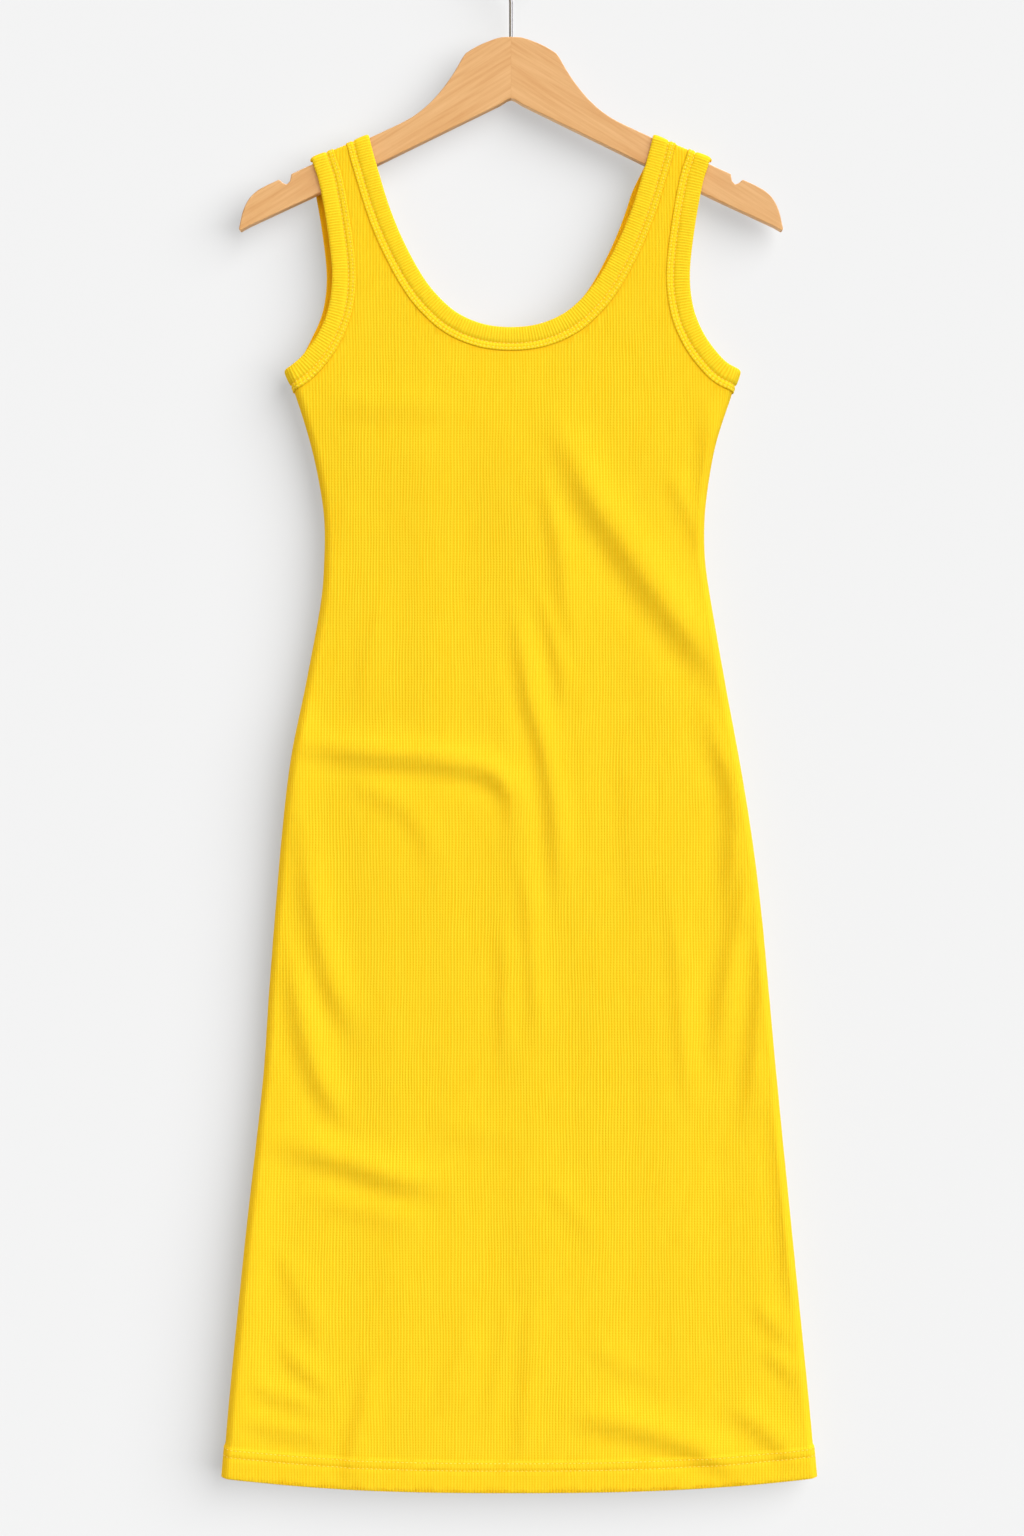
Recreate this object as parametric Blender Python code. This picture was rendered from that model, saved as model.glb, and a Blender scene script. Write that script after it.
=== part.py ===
"""Ribbed tank dress on a wooden clothes hanger.

Metres, +Z up. The front of the dress faces -Y and +X is on the right as seen from the front.
The origin is the inside of the hook's top, where a rail carries the hanger.

Sizes below are millimetres. A "drop" is the height below the top of the wood, and a "reach" is
the distance from the middle. A panel is worked out in cut coordinates: "across" and "down" run
over the cloth and round its edges, and surface_point folds them onto the hanging shape.
"""
import functools
import math
from collections import namedtuple

import bmesh
import bpy
from mathutils import Vector
from mathutils.geometry import delaunay_2d_cdt

MM = 0.001

# Cloth
WALL = 1.2
SEAM_GAP = 0.3
FRONT = -1
BACK = 1

# Hem, turned up inside and stitched
HEM_HEIGHT = 24.5
HEM_STEP = 1.5
HEM_PROUD = 1.1
HEM_WALL = 2.2
HEM_CORNER_DROP = 1174.0
HEM_SAG = 11.5
HEM_SAG_POWER = 2.6

# Bands that bind the neck and the armholes: their section, as width from the free edge and
# height over the panel's outside, with a sunk line where the welt is stitched down
BAND_WIDTH = 19.5
BandPoint = namedtuple("BandPoint", "width height")
BAND_SECTION = (
    BandPoint(0.0, -0.6),
    BandPoint(1.2, 0.6),
    BandPoint(12.9, 0.6),
    BandPoint(13.5, 0.3),
    BandPoint(14.3, 0.85),
    BandPoint(18.7, 0.85),
    BandPoint(BAND_WIDTH, 0.0),
    BandPoint(BAND_WIDTH, -1.8),
    BandPoint(1.2, -1.8),
)

# How the cloth turns over the hanger and round the sides
HANG_DEPTH = 8.5
SHOULDER_ROUND = 3.5
SHOULDER_REACH = 116.0
SHOULDER_DROP = 80.4
SHOULDER_SLOPE = 0.41
SIDE_ROUND = 7.0
CROWN_LOSS = 0.7
UNDERARM_DROP = 272.5

# The back hangs a little to the left of the front between shoulder and underarm
BACK_SHIFT = 5.2
BACK_NECK_DEEPER = 5.0

# Side edges: reach to the left and right of the middle at each drop
Section = namedtuple("Section", "drop left right")
SECTIONS = (
    Section(272, 184.5, 187.0),
    Section(291, 176.5, 180.5),
    Section(329, 164.5, 168.0),
    Section(362, 157.0, 161.5),
    Section(394, 152.5, 158.0),
    Section(427, 152.5, 158.5),
    Section(459, 155.0, 163.0),
    Section(525, 167.0, 174.5),
    Section(590, 180.0, 186.5),
    Section(655, 187.5, 197.0),
    Section(720, 193.0, 205.0),
    Section(785, 198.0, 211.0),
    Section(850, 202.5, 217.0),
    Section(981, 217.0, 230.0),
    Section(1111, 230.0, 243.0),
    Section(1186, 236.4, 249.9),
)

# How far each panel stands off the middle plane
Depth = namedtuple("Depth", "drop front back")
DEPTHS = (
    Depth(80, 8.5, 8.5),
    Depth(180, 8.5, 8.5),
    Depth(250, 9.5, 9.0),
    Depth(340, 12.5, 10.5),
    Depth(430, 11.5, 10.5),
    Depth(600, 14.0, 12.0),
    Depth(850, 13.0, 12.0),
    Depth(1186, 15.0, 13.0),
)

# Free edges of the bindings, from the shoulder down
Knot = namedtuple("Knot", "reach drop")
NECK_EDGE = (
    Knot(113.3, 91.0),
    Knot(107.8, 110.5),
    Knot(98.6, 140.0),
    Knot(86.5, 169.0),
    Knot(70.0, 198.5),
    Knot(53.0, 218.0),
    Knot(38.0, 228.5),
    Knot(20.0, 235.0),
    Knot(0.0, 237.0),
)
NECK_SHOULDER_REACH = 117.3
ARMHOLE_EDGE = (
    Knot(160.6, 106.0),
    Knot(156.0, 121.0),
    Knot(149.6, 157.0),
    Knot(145.8, 193.0),
    Knot(148.4, 220.0),
    Knot(156.4, 241.0),
    Knot(167.8, 257.5),
    Knot(178.5, 267.5),
)
ARMHOLE_SHOULDER_REACH = 164.2

# Creases: how high the crest stands, its half width, how far the hollow on its shaded side sinks,
# and the crest's path as (x, drop), which runs down or to the right; the shaded flank is the steep one
Fold = namedtuple("Fold", "height width sink path")
FRONT_FOLDS = (
    Fold(5.1, 14.0, 1.8, ((27, 294), (46, 333), (66, 374), (86, 405), (108, 437), (128, 464),
                          (148, 491), (166, 513), (212, 568))),
    Fold(1.8, 8.5, 0.6, ((24, 332), (33, 385), (41, 425), (46, 465), (58, 516))),
    Fold(3.0, 8.5, 1.2, ((1, 446), (8, 488), (16, 539), (25, 571), (33, 609), (37, 642), (40, 690),
                         (40, 732))),
    Fold(3.8, 9.0, 1.5, ((-215, 570), (-165, 578), (-131, 583), (-74, 588), (-45, 592), (-20, 598),
                         (-4, 611), (2, 632), (4, 700))),
    Fold(1.4, 9.5, 0.4, ((-142, 600), (-112, 615), (-88, 628), (-70, 650), (-58, 695))),
    Fold(3.3, 10.5, 1.2, ((-168, 620), (-163, 688), (-157, 726), (-148, 762), (-136, 792), (-116, 826))),
    Fold(3.3, 10.5, 1.2, ((-180, 716), (-173, 775), (-168, 808), (-158, 842), (-144, 868), (-116, 900))),
    Fold(3.8, 10.5, 1.4, ((-222, 892), (-171, 906), (-144, 913), (-126, 919), (-99, 928), (-72, 933),
                          (-30, 938))),
    Fold(4.2, 10.5, 1.5, ((156, 530), (171, 578), (180, 606), (184, 636), (183, 662), (180, 696),
                          (174, 736))),
    Fold(3.4, 10.0, 1.2, ((204, 640), (193, 695), (187, 720), (181, 746), (176, 775), (171, 815),
                          (169, 862))),
    Fold(3.4, 9.5, 1.2, ((204, 690), (206, 735), (205, 770), (202, 805), (199, 840), (195, 870),
                         (188, 905))),
    Fold(2.1, 9.5, 0.8, ((215, 836), (222, 894), (225, 943), (230, 1000), (234, 1060))),
    Fold(3.0, 10.0, 1.4, ((36, 1119), (64, 1125), (100, 1132), (127, 1140), (149, 1148), (172, 1160),
                          (196, 1180))),
    Fold(2.2, 9.5, 0.9, ((170, 1108), (197, 1127), (216, 1142), (240, 1168))),
    Fold(2.4, 9.0, 1.0, ((-108, 1070), (-120, 1122), (-127, 1150), (-133, 1196))),
    Fold(4.2, 13.0, 0.5, ((-197, 820), (-208, 950), (-216, 1026), (-223, 1089), (-229, 1150),
                          (-234, 1230))),
)
BACK_FOLDS = (
    Fold(4.5, 14.0, 1.5, ((-24, 330), (-50, 372), (-80, 404), (-124, 460), (-190, 530))),
    Fold(2.8, 9.0, 1.1, ((14, 430), (2, 520), (-10, 600), (-12, 710))),
    Fold(3.6, 10.5, 1.4, ((0, 608), (70, 596), (130, 590), (204, 596))),
    Fold(3.1, 10.0, 1.1, ((178, 640), (168, 720), (142, 810))),
    Fold(3.1, 10.0, 1.1, ((-186, 624), (-190, 720), (-182, 830))),
    Fold(3.2, 10.5, 1.3, ((40, 948), (130, 928), (224, 898))),
    Fold(2.2, 10.0, 0.8, ((-58, 880), (-70, 1010), (-64, 1140))),
    Fold(2.7, 10.5, 1.1, ((-204, 1142), (-130, 1126), (-48, 1120))),
)
FOLD_FADE = 0.3
FOLD_REACH = 3.6
STEEP_FLANK = 0.85
SOFT_FLANK = 1.45
SINK_OFFSET = 1.5
FOLD_STEP = 20.0
FOLD_POINT_OFFSETS = (-1.6, -0.8, 0.0, 0.65, 1.5)

# Spacing of the cloth's points
ROW_STEP = 26.0
FRONT_COLUMNS = 29
BACK_COLUMNS = 21
BAND_STEP = 12.5
BAND_STEP_AT_SEAM = 1.9
BAND_STEP_GROWTH = 0.27
EDGE_CLEARANCE = 5.5
ROW_SQUEEZE = 0.48
FOLD_SPACING = 5.0
GRID_SPACING = 8.0
CURVE_STEPS = 16
SLOPE_STEP = 0.05

# Wooden hanger, its outline given for one side
HOOK_RISE = 75.0
WOOD_THICKNESS = 12.0
WOOD_BEVEL = 1.3
WOOD_HEAD_TOP = (Knot(0, 0), Knot(9, 0.6), Knot(19, 3.9), Knot(28.5, 8.2), Knot(37, 13.4))
WOOD_NECK_TOP = (Knot(39.5, 17.0), Knot(48, 31.5), Knot(58, 45.0), Knot(68, 55.6), Knot(78, 63.6),
                 Knot(88, 69.5), Knot(107, 78.6))
WOOD_NOTCH = (Knot(179.2, 111.9), Knot(180.2, 117.6), Knot(182.8, 120.4), Knot(185.6, 119.4),
              Knot(189.0, 116.4))
WOOD_END = (Knot(199, 121.0), Knot(207, 125.6), Knot(213.5, 132.0), Knot(218.5, 142.0),
            Knot(222.0, 157.0))
WOOD_UNDERSIDE = (Knot(220.6, 158.2), Knot(214, 154.4), Knot(165.4, 131.8), Knot(9, 55.0),
                  Knot(3, 51.2))
WOOD_APEX_DROP = 50.2

# Wire hook
WIRE_RADIUS = 1.6
HOOK_RADIUS = 20.0
HOOK_BEND_RADIUS = 9.0
HOOK_TIP_ANGLE = -28.0
HOOK_SINK = 17.0
HOLE_DEPTH = 17.6
HOLE_RADIUS = WIRE_RADIUS + SEAM_GAP
WIRE_SIDES = 8
WIRE_ARC_STEP = 11.0

# Colours, linear
CLOTH_COLOUR = (0.955, 0.64, 0.024, 1)
BAND_COLOUR = (0.93, 0.60, 0.02, 1)
WOOD_COLOUR = (0.79, 0.46, 0.21, 1)
STEEL_COLOUR = (0.56, 0.56, 0.57, 1)


def clear_scene():
    for old in list(bpy.data.objects):
        bpy.data.objects.remove(old, do_unlink=True)


def make_material(name, colour, roughness, metallic=0.0):
    material = bpy.data.materials.new(name)
    material.use_nodes = True
    shader = material.node_tree.nodes["Principled BSDF"]
    shader.inputs["Base Color"].default_value = colour
    shader.inputs["Roughness"].default_value = roughness
    shader.inputs["Metallic"].default_value = metallic
    return material


def smoothstep(value):
    value = min(1.0, max(0.0, value))
    return value * value * (3 - 2 * value)


def read_table(rows, column, drop):
    """One column of a table at any drop, on a smooth curve through its rows."""
    drops = [row.drop for row in rows]
    values = [getattr(row, column) for row in rows]
    if drop <= drops[0]:
        return values[0]
    if drop >= drops[-1]:
        return values[-1]
    i = next(k for k in range(len(rows) - 1) if drop <= drops[k + 1])

    def slope(k):
        low, high = max(k - 1, 0), min(k + 1, len(rows) - 1)
        return (values[high] - values[low]) / (drops[high] - drops[low])

    gap = drops[i + 1] - drops[i]
    t = (drop - drops[i]) / gap
    return ((2 * t**3 - 3 * t**2 + 1) * values[i] + (t**3 - 2 * t**2 + t) * gap * slope(i)
            + (3 * t**2 - 2 * t**3) * values[i + 1] + (t**3 - t**2) * gap * slope(i + 1))


def curve_through(knots):
    """Close points on a smooth curve through the knots."""
    padded = [knots[0] * 2 - knots[1], *knots, knots[-1] * 2 - knots[-2]]
    points = []
    for before, start, end, after in zip(padded, padded[1:], padded[2:], padded[3:]):
        for i in range(CURVE_STEPS):
            t = i / CURVE_STEPS
            points.append(0.5 * (2 * start + (end - before) * t
                                 + (2 * before - 5 * start + 4 * end - after) * t**2
                                 + (3 * start - before - 3 * end + after) * t**3))
    points.append(knots[-1])
    return points


def points_at(points, distances):
    """Points at the given distances along a polyline."""
    picked = []
    travelled = 0.0
    leg = 0
    for distance in distances:
        while leg < len(points) - 2 and travelled + (points[leg + 1] - points[leg]).length < distance:
            travelled += (points[leg + 1] - points[leg]).length
            leg += 1
        step = points[leg + 1] - points[leg]
        picked.append(points[leg] + step * ((distance - travelled) / step.length))
    return picked


def graded_distances(length):
    """Distances from 0 to length, close together at both ends where the cloth turns over."""
    half = [0.0]
    while half[-1] < length / 2:
        half.append(half[-1] + min(BAND_STEP, BAND_STEP_AT_SEAM + BAND_STEP_GROWTH * half[-1]))
    stretch = length / 2 / half[-1]
    half = [distance * stretch for distance in half]
    return half + [length - distance for distance in reversed(half[:-1])]


# The hanging shape

def hem_drop(across):
    """Drop of the hem's edge, lowest in the middle."""
    reach = SECTIONS[-1].right if across > 0 else SECTIONS[-1].left
    return HEM_CORNER_DROP + HEM_SAG * (1 - min(1.0, abs(across) / reach) ** HEM_SAG_POWER)


def hem_share(across, down):
    """0 above the turned-up hem and 1 on it."""
    return smoothstep((down - hem_drop(across) + HEM_HEIGHT + HEM_STEP) / HEM_STEP)


def side_reach(side_sign, down):
    """Reach of the side edge; side_sign is 1 on the right and -1 on the left."""
    column = "right" if side_sign > 0 else "left"
    return read_table(SECTIONS, column, down)


@functools.lru_cache(maxsize=None)
def fold_crest(fold):
    """The crest's points, and the box outside which the crease is flat."""
    points = curve_through([Vector(knot) for knot in fold.path])[::CURVE_STEPS // 4]
    margin = FOLD_REACH * fold.width
    low = Vector((min(p.x for p in points) - margin, min(p.y for p in points) - margin))
    high = Vector((max(p.x for p in points) + margin, max(p.y for p in points) + margin))
    return points, low, high


def fold_relief(folds, x, drop):
    """How far the creases push the cloth out at a place on the panel."""
    total = 0.0
    for fold in folds:
        points, low, high = fold_crest(fold)
        if not (low.x < x < high.x and low.y < drop < high.y):
            continue
        nearest = math.inf
        for k in range(len(points) - 1):
            start, step = points[k], points[k + 1] - points[k]
            rel_x, rel_drop = x - start.x, drop - start.y
            t = (rel_x * step.x + rel_drop * step.y) / step.length_squared
            t = min(1.0, max(0.0, t))
            distance = math.hypot(rel_x - step.x * t, rel_drop - step.y * t)
            if distance < nearest:
                nearest = distance
                aside = math.copysign(distance, step.x * rel_drop - step.y * rel_x) / fold.width
                along = (k + t) / (len(points) - 1)
        fade = smoothstep(along / FOLD_FADE) * smoothstep((1 - along) / FOLD_FADE)
        flank = aside / (STEEP_FLANK if aside > 0 else SOFT_FLANK)
        total += fade * (fold.height * math.exp(-flank**2)
                         - fold.sink * math.exp(-(aside - SINK_OFFSET) ** 2))
    return total


def panel_depth(face, x, down):
    """How far the panel's outside stands off the middle plane, creases and hem included."""
    column = "front" if face == FRONT else "back"
    base = read_table(DEPTHS, column, down)
    share = x / side_reach(1 if x > 0 else -1, down)
    depth = HANG_DEPTH + (base - HANG_DEPTH) * (1 - CROWN_LOSS * share**2)
    folds = FRONT_FOLDS if face == FRONT else BACK_FOLDS
    return depth + fold_relief(folds, x, down) + HEM_PROUD * hem_share(x, down)


def side_arc(face, side_sign, down):
    """Reach where the side's round starts, the panel's depth there, and the round's length."""
    proud = HEM_PROUD * hem_share(side_sign * SECTIONS[-1].right, down)
    start = side_reach(side_sign, down) + proud - SIDE_ROUND
    depth = panel_depth(face, side_sign * start, down)
    total = SIDE_ROUND + depth
    length = math.pi / 4 * (3 * total - math.sqrt((3 * SIDE_ROUND + depth) * (SIDE_ROUND + 3 * depth)))
    return start, depth, length


def side_seam_across(face, side_sign, down):
    start, _, length = side_arc(face, side_sign, down)
    return side_sign * (start + length)


def shoulder_drop(x):
    return SHOULDER_DROP + (abs(x) - SHOULDER_REACH) * SHOULDER_SLOPE


def shoulder_seam_down(x):
    """The cut coordinate of the shoulder seam, which lies on top of the hanger."""
    wrap = SHOULDER_ROUND * math.pi / 2 + HANG_DEPTH - SHOULDER_ROUND
    return shoulder_drop(x) + SHOULDER_ROUND - wrap


def back_shift(down):
    grow = smoothstep((down - 95) / 35)
    fade = smoothstep((down - 240) / 32)
    return BACK_SHIFT * grow * (1 - fade)


def surface_point(face, across, down):
    """Fold a point of the cut panel onto the outside of the hanging dress."""
    side_sign = 1 if across > 0 else -1
    start, edge_depth, length = side_arc(face, side_sign, down)
    if abs(across) <= start:
        x = across
        depth = panel_depth(face, x, down)
    else:
        turn = (abs(across) - start) / length * math.pi / 2
        x = side_sign * (start + SIDE_ROUND * math.sin(turn))
        depth = edge_depth * math.cos(turn)
    drop = down
    lead = shoulder_drop(x) + SHOULDER_ROUND - down
    if lead > 0:
        turn = min(lead / SHOULDER_ROUND, math.pi / 2)
        depth -= SHOULDER_ROUND * (1 - math.cos(turn)) + max(0.0, lead - SHOULDER_ROUND * math.pi / 2)
        drop = shoulder_drop(x) + SHOULDER_ROUND * (1 - math.sin(turn))
    if face == BACK:
        x -= back_shift(down)
    return Vector((x, face * depth, -HOOK_RISE - drop))


def surface_normal(face, across, down):
    """The direction out of the cloth."""
    by_across = (surface_point(face, across + SLOPE_STEP, down)
                 - surface_point(face, across - SLOPE_STEP, down))
    by_down = (surface_point(face, across, down + SLOPE_STEP)
               - surface_point(face, across, down - SLOPE_STEP))
    return by_across.cross(by_down).normalized() * face


# The bindings' edges, and what is measured from them

Station = namedtuple("Station", "place inward seam")


def neck_knots(face):
    """Cut coordinates of the neck's free edge, from the left shoulder to the right."""
    deeper = BACK_NECK_DEEPER / (NECK_EDGE[-1].drop - SHOULDER_DROP) if face == BACK else 0.0
    right = [Vector((NECK_SHOULDER_REACH, shoulder_seam_down(NECK_SHOULDER_REACH)))]
    right += [Vector((k.reach, k.drop + (k.drop - SHOULDER_DROP) * deeper)) for k in NECK_EDGE]
    left = [Vector((-p.x, p.y)) for p in right[:-1]]
    return left + right[::-1]


def armhole_knots(face, side_sign):
    """Cut coordinates of an armhole's free edge, from the shoulder to the underarm."""
    reach = ARMHOLE_SHOULDER_REACH
    knots = [Vector((side_sign * reach, shoulder_seam_down(reach)))]
    knots += [Vector((side_sign * k.reach, k.drop)) for k in ARMHOLE_EDGE]
    across = side_seam_across(face, side_sign, UNDERARM_DROP)
    knots.append(Vector((across, UNDERARM_DROP)))
    return knots


def seam_direction(seam, face, place, inward):
    """Unit step along a seam that points the same way as the band is wide."""
    if seam == "shoulder":
        along = Vector((1, SHOULDER_SLOPE * math.copysign(1, place.x)))
    else:
        side_sign = math.copysign(1, place.x)
        lower = side_seam_across(face, side_sign, place.y + BAND_WIDTH)
        along = Vector((lower - place.x, BAND_WIDTH))
    along.normalize()
    return along if along.dot(inward) > 0 else -along


def band_stations(face, knots, seams, turn):
    """Stations along a free edge, each with the direction in which the band is wide.

    seams names the seam at each end, and turn is 1 or -1 for the side the panel is on.
    """
    points = curve_through(knots)
    length = sum((b - a).length for a, b in zip(points, points[1:]))
    places = points_at(points, graded_distances(length))
    count = len(places)
    stations = []
    for i, place in enumerate(places):
        tangent = places[min(i + 1, count - 1)] - places[max(i - 1, 0)]
        inward = Vector((-tangent.y, tangent.x)).normalized() * turn
        for end, seam in ((0, seams[0]), (count - 1, seams[1])):
            along = seam_direction(seam, face, places[end], inward)
            near = max(0.0, 1 - (place - places[end]).length / BAND_WIDTH)
            inward = inward.lerp(along, smoothstep(near)).normalized()
        seam_here = seams[0] if i == 0 else seams[1] if i == count - 1 else None
        stations.append(Station(place, inward, seam_here))
    return stations


def band_place(face, station, width, inset=0.0):
    """Cut coordinates at a distance from the free edge; on a seam the place stays on it."""
    place = station.place + station.inward * width
    if station.seam == "shoulder":
        place.y = shoulder_seam_down(place.x) + inset
    elif station.seam == "side":
        side_sign = math.copysign(1, place.x)
        place.x = side_seam_across(face, side_sign, place.y) - side_sign * inset
    return place


def neck_stations(face):
    return band_stations(face, neck_knots(face), ("shoulder", "shoulder"), 1)


def armhole_stations(face, side_sign):
    return band_stations(face, armhole_knots(face, side_sign), ("shoulder", "side"), side_sign)


# Panels

def panel_outline(face):
    """Cut outline of a panel: side, hem, side, armhole, strap, neck, strap and armhole."""
    width = BAND_WIDTH + SEAM_GAP
    half_gap = SEAM_GAP / 2
    neck = [band_place(face, s, width, half_gap) for s in neck_stations(face)]
    right_arm = [band_place(face, s, width, half_gap) for s in armhole_stations(face, 1)]
    left_arm = [band_place(face, s, width, half_gap) for s in armhole_stations(face, -1)]

    def side(side_sign, top):
        bottom = HEM_CORNER_DROP
        rows = [down for down in row_drops() if top + 2 * EDGE_CLEARANCE < down < bottom]
        return [Vector((side_seam_across(face, side_sign, down) - side_sign * half_gap, down))
                for down in rows + [bottom]]

    right = side(1, right_arm[-1].y)
    left = side(-1, left_arm[-1].y)
    columns = panel_columns(face)
    span = right[-1].x - left[-1].x
    hem = []
    for share in columns[1:-1]:
        across = left[-1].x + span * share
        hem.append(Vector((across, hem_drop(across))))
    return left + hem + right[::-1] + right_arm[::-1] + neck[::-1] + left_arm


def panel_columns(face):
    count = FRONT_COLUMNS if face == FRONT else BACK_COLUMNS
    return [k / count for k in range(count + 1)]


def row_drops():
    """Drops of the cloth's rows, with close ones where the hem steps out."""
    top = SHOULDER_DROP + ROW_STEP
    hem_top = HEM_CORNER_DROP - HEM_HEIGHT
    count = round((hem_top - HEM_STEP - top) / ROW_STEP)
    rows = [top + (hem_top - HEM_STEP - top) * k / count for k in range(count + 1)]
    return rows + [hem_top, HEM_CORNER_DROP - HEM_HEIGHT / 2]


def inside(outline, place):
    crossings = 0
    for a, b in zip(outline, outline[1:] + outline[:1]):
        if (a.y > place.y) != (b.y > place.y):
            crossings += a.x + (b.x - a.x) * (place.y - a.y) / (b.y - a.y) > place.x
    return crossings % 2 == 1


def edge_distance(outline, place):
    nearest = math.inf
    for a, b in zip(outline, outline[1:] + outline[:1]):
        step = b - a
        t = min(1.0, max(0.0, (place - a).dot(step) / step.dot(step)))
        nearest = min(nearest, (place - a - step * t).length)
    return nearest


def fold_points(folds):
    """Places along each crest and down both its flanks."""
    places = []
    for fold in folds:
        crest = fold_crest(fold)[0]
        length = sum((b - a).length for a, b in zip(crest, crest[1:]))
        count = round(length / FOLD_STEP)
        spots = points_at(crest, [length * k / count for k in range(count + 1)])
        for k, spot in enumerate(spots):
            run = spots[min(k + 1, count)] - spots[max(k - 1, 0)]
            aside = Vector((-run.y, run.x)).normalized() * fold.width
            places += [spot + aside * offset for offset in FOLD_POINT_OFFSETS]
    return places


def grid_points(face):
    """Places in rows that bend with the hem and columns that flare with the sides."""
    columns = panel_columns(face)
    places = []
    for row in row_drops():
        left = side_seam_across(face, -1, row)
        right = side_seam_across(face, 1, row)
        flare = smoothstep((row - UNDERARM_DROP) / (HEM_CORNER_DROP - UNDERARM_DROP))
        for share in columns[1:-1]:
            across = left + (right - left) * share
            places.append(Vector((across, row + (hem_drop(across) - HEM_CORNER_DROP) * flare)))
    return places


def apart(place, others, spacing):
    """True if the place is far enough from the others, rows counting less than columns."""
    return all(math.hypot(place.x - other.x, (place.y - other.y) * ROW_SQUEEZE) > spacing
               for other in others)


def panel_points(face, outline):
    """The panel's inner points: those of its creases, then the grid's between them."""
    folds = FRONT_FOLDS if face == FRONT else BACK_FOLDS

    def fits(place):
        return inside(outline, place) and edge_distance(outline, place) > EDGE_CLEARANCE

    creases = []
    for place in fold_points(folds):
        above_hem = place.y < hem_drop(place.x) - HEM_HEIGHT - EDGE_CLEARANCE
        if above_hem and fits(place) and apart(place, creases, FOLD_SPACING):
            creases.append(place)
    grid = [place for place in grid_points(face)
            if fits(place) and apart(place, creases, GRID_SPACING)]
    return creases + grid


def wall_at(face, place):
    return WALL + (HEM_WALL - WALL) * hem_share(place.x, place.y)


def build_panel(name, face, material):
    """A panel: its outside, its inside one wall further in, and the cut edge between them."""
    outline = panel_outline(face)
    places = outline + panel_points(face, outline)
    flat = [Vector((p.x, p.y * ROW_SQUEEZE)) for p in places]
    border = [(k, (k + 1) % len(outline)) for k in range(len(outline))]
    _, _, triangles, _, _, _ = delaunay_2d_cdt(flat, border, [], 1, 1e-5)

    outer = [surface_point(face, p.x, p.y) for p in places]
    inner = [point - surface_normal(face, p.x, p.y) * wall_at(face, p)
             for point, p in zip(outer, places)]
    mesh = bmesh.new()
    outside = [mesh.verts.new(point * MM) for point in outer]
    lining = [mesh.verts.new(point * MM) for point in inner]
    for triangle in triangles:
        mesh.faces.new([outside[k] for k in triangle])
        mesh.faces.new([lining[k] for k in reversed(triangle)])
    for k, following in border:
        mesh.faces.new([outside[following], outside[k], lining[k], lining[following]])
    return finish_mesh(name, mesh, material)


# Bindings

def band_rings(face, stations):
    """The band's section at each station, on the hanging shape."""
    rings = []
    for station in stations:
        ring = []
        for width, height in BAND_SECTION:
            place = band_place(face, station, width)
            point = surface_point(face, place.x, place.y)
            ring.append(point + surface_normal(face, place.x, place.y) * height)
        rings.append(ring)
    return rings


def build_band(name, front_stations, back_stations, material):
    """One closed band: along the front, then back along the back panel."""
    rings = band_rings(FRONT, front_stations)
    rings += band_rings(BACK, back_stations)[-2:0:-1]
    mesh = bmesh.new()
    loops = [[mesh.verts.new(point * MM) for point in ring] for ring in rings]
    for loop, following in zip(loops, loops[1:] + loops[:1]):
        for k in range(len(loop)):
            after = (k + 1) % len(loop)
            mesh.faces.new([loop[k], loop[after], following[after], following[k]])
    return finish_mesh(name, mesh, material)


def finish_mesh(name, mesh, material, sharp_angle=40.0):
    bmesh.ops.recalc_face_normals(mesh, faces=mesh.faces)
    bmesh.ops.triangulate(mesh, faces=[face for face in mesh.faces if len(face.verts) > 3])
    data = bpy.data.meshes.new(name)
    mesh.to_mesh(data)
    mesh.free()
    data.materials.append(material)
    data.shade_smooth()
    data.set_sharp_from_angle(angle=math.radians(sharp_angle))
    thing = bpy.data.objects.new(name, data)
    bpy.context.collection.objects.link(thing)
    return thing


# Hanger

def wood_outline():
    """Front outline of the wood as (x, drop), clockwise from the top middle."""
    head, neck, end = (curve_through([Vector(k) for k in knots])[::CURVE_STEPS // 2]
                       for knots in (WOOD_HEAD_TOP, WOOD_NECK_TOP, WOOD_END))
    right = head + neck + [Vector(k) for k in WOOD_NOTCH] + end
    right += [Vector(k) for k in WOOD_UNDERSIDE]
    left = [Vector((-p.x, p.y)) for p in right[:0:-1]]
    return right + [Vector((0, WOOD_APEX_DROP))] + left


def build_wood(material):
    mesh = bmesh.new()
    front = [mesh.verts.new((p.x * MM, -WOOD_THICKNESS / 2 * MM, (-HOOK_RISE - p.y) * MM))
             for p in wood_outline()]
    face = mesh.faces.new(front)
    sweep = bmesh.ops.extrude_face_region(mesh, geom=[face])
    moved = [item for item in sweep["geom"] if isinstance(item, bmesh.types.BMVert)]
    bmesh.ops.translate(mesh, verts=moved, vec=(0, WOOD_THICKNESS * MM, 0))
    wood = finish_mesh("hanger_body", mesh, material)

    bevel = wood.modifiers.new("rounded edges", "BEVEL")
    bevel.width = WOOD_BEVEL * MM
    bevel.segments = 2
    bevel.limit_method = "ANGLE"
    bevel.angle_limit = math.radians(50)

    hole = wood.modifiers.new("hook hole", "BOOLEAN")
    hole.operation = "DIFFERENCE"
    hole.object = hole_cutter()
    return wood


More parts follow.
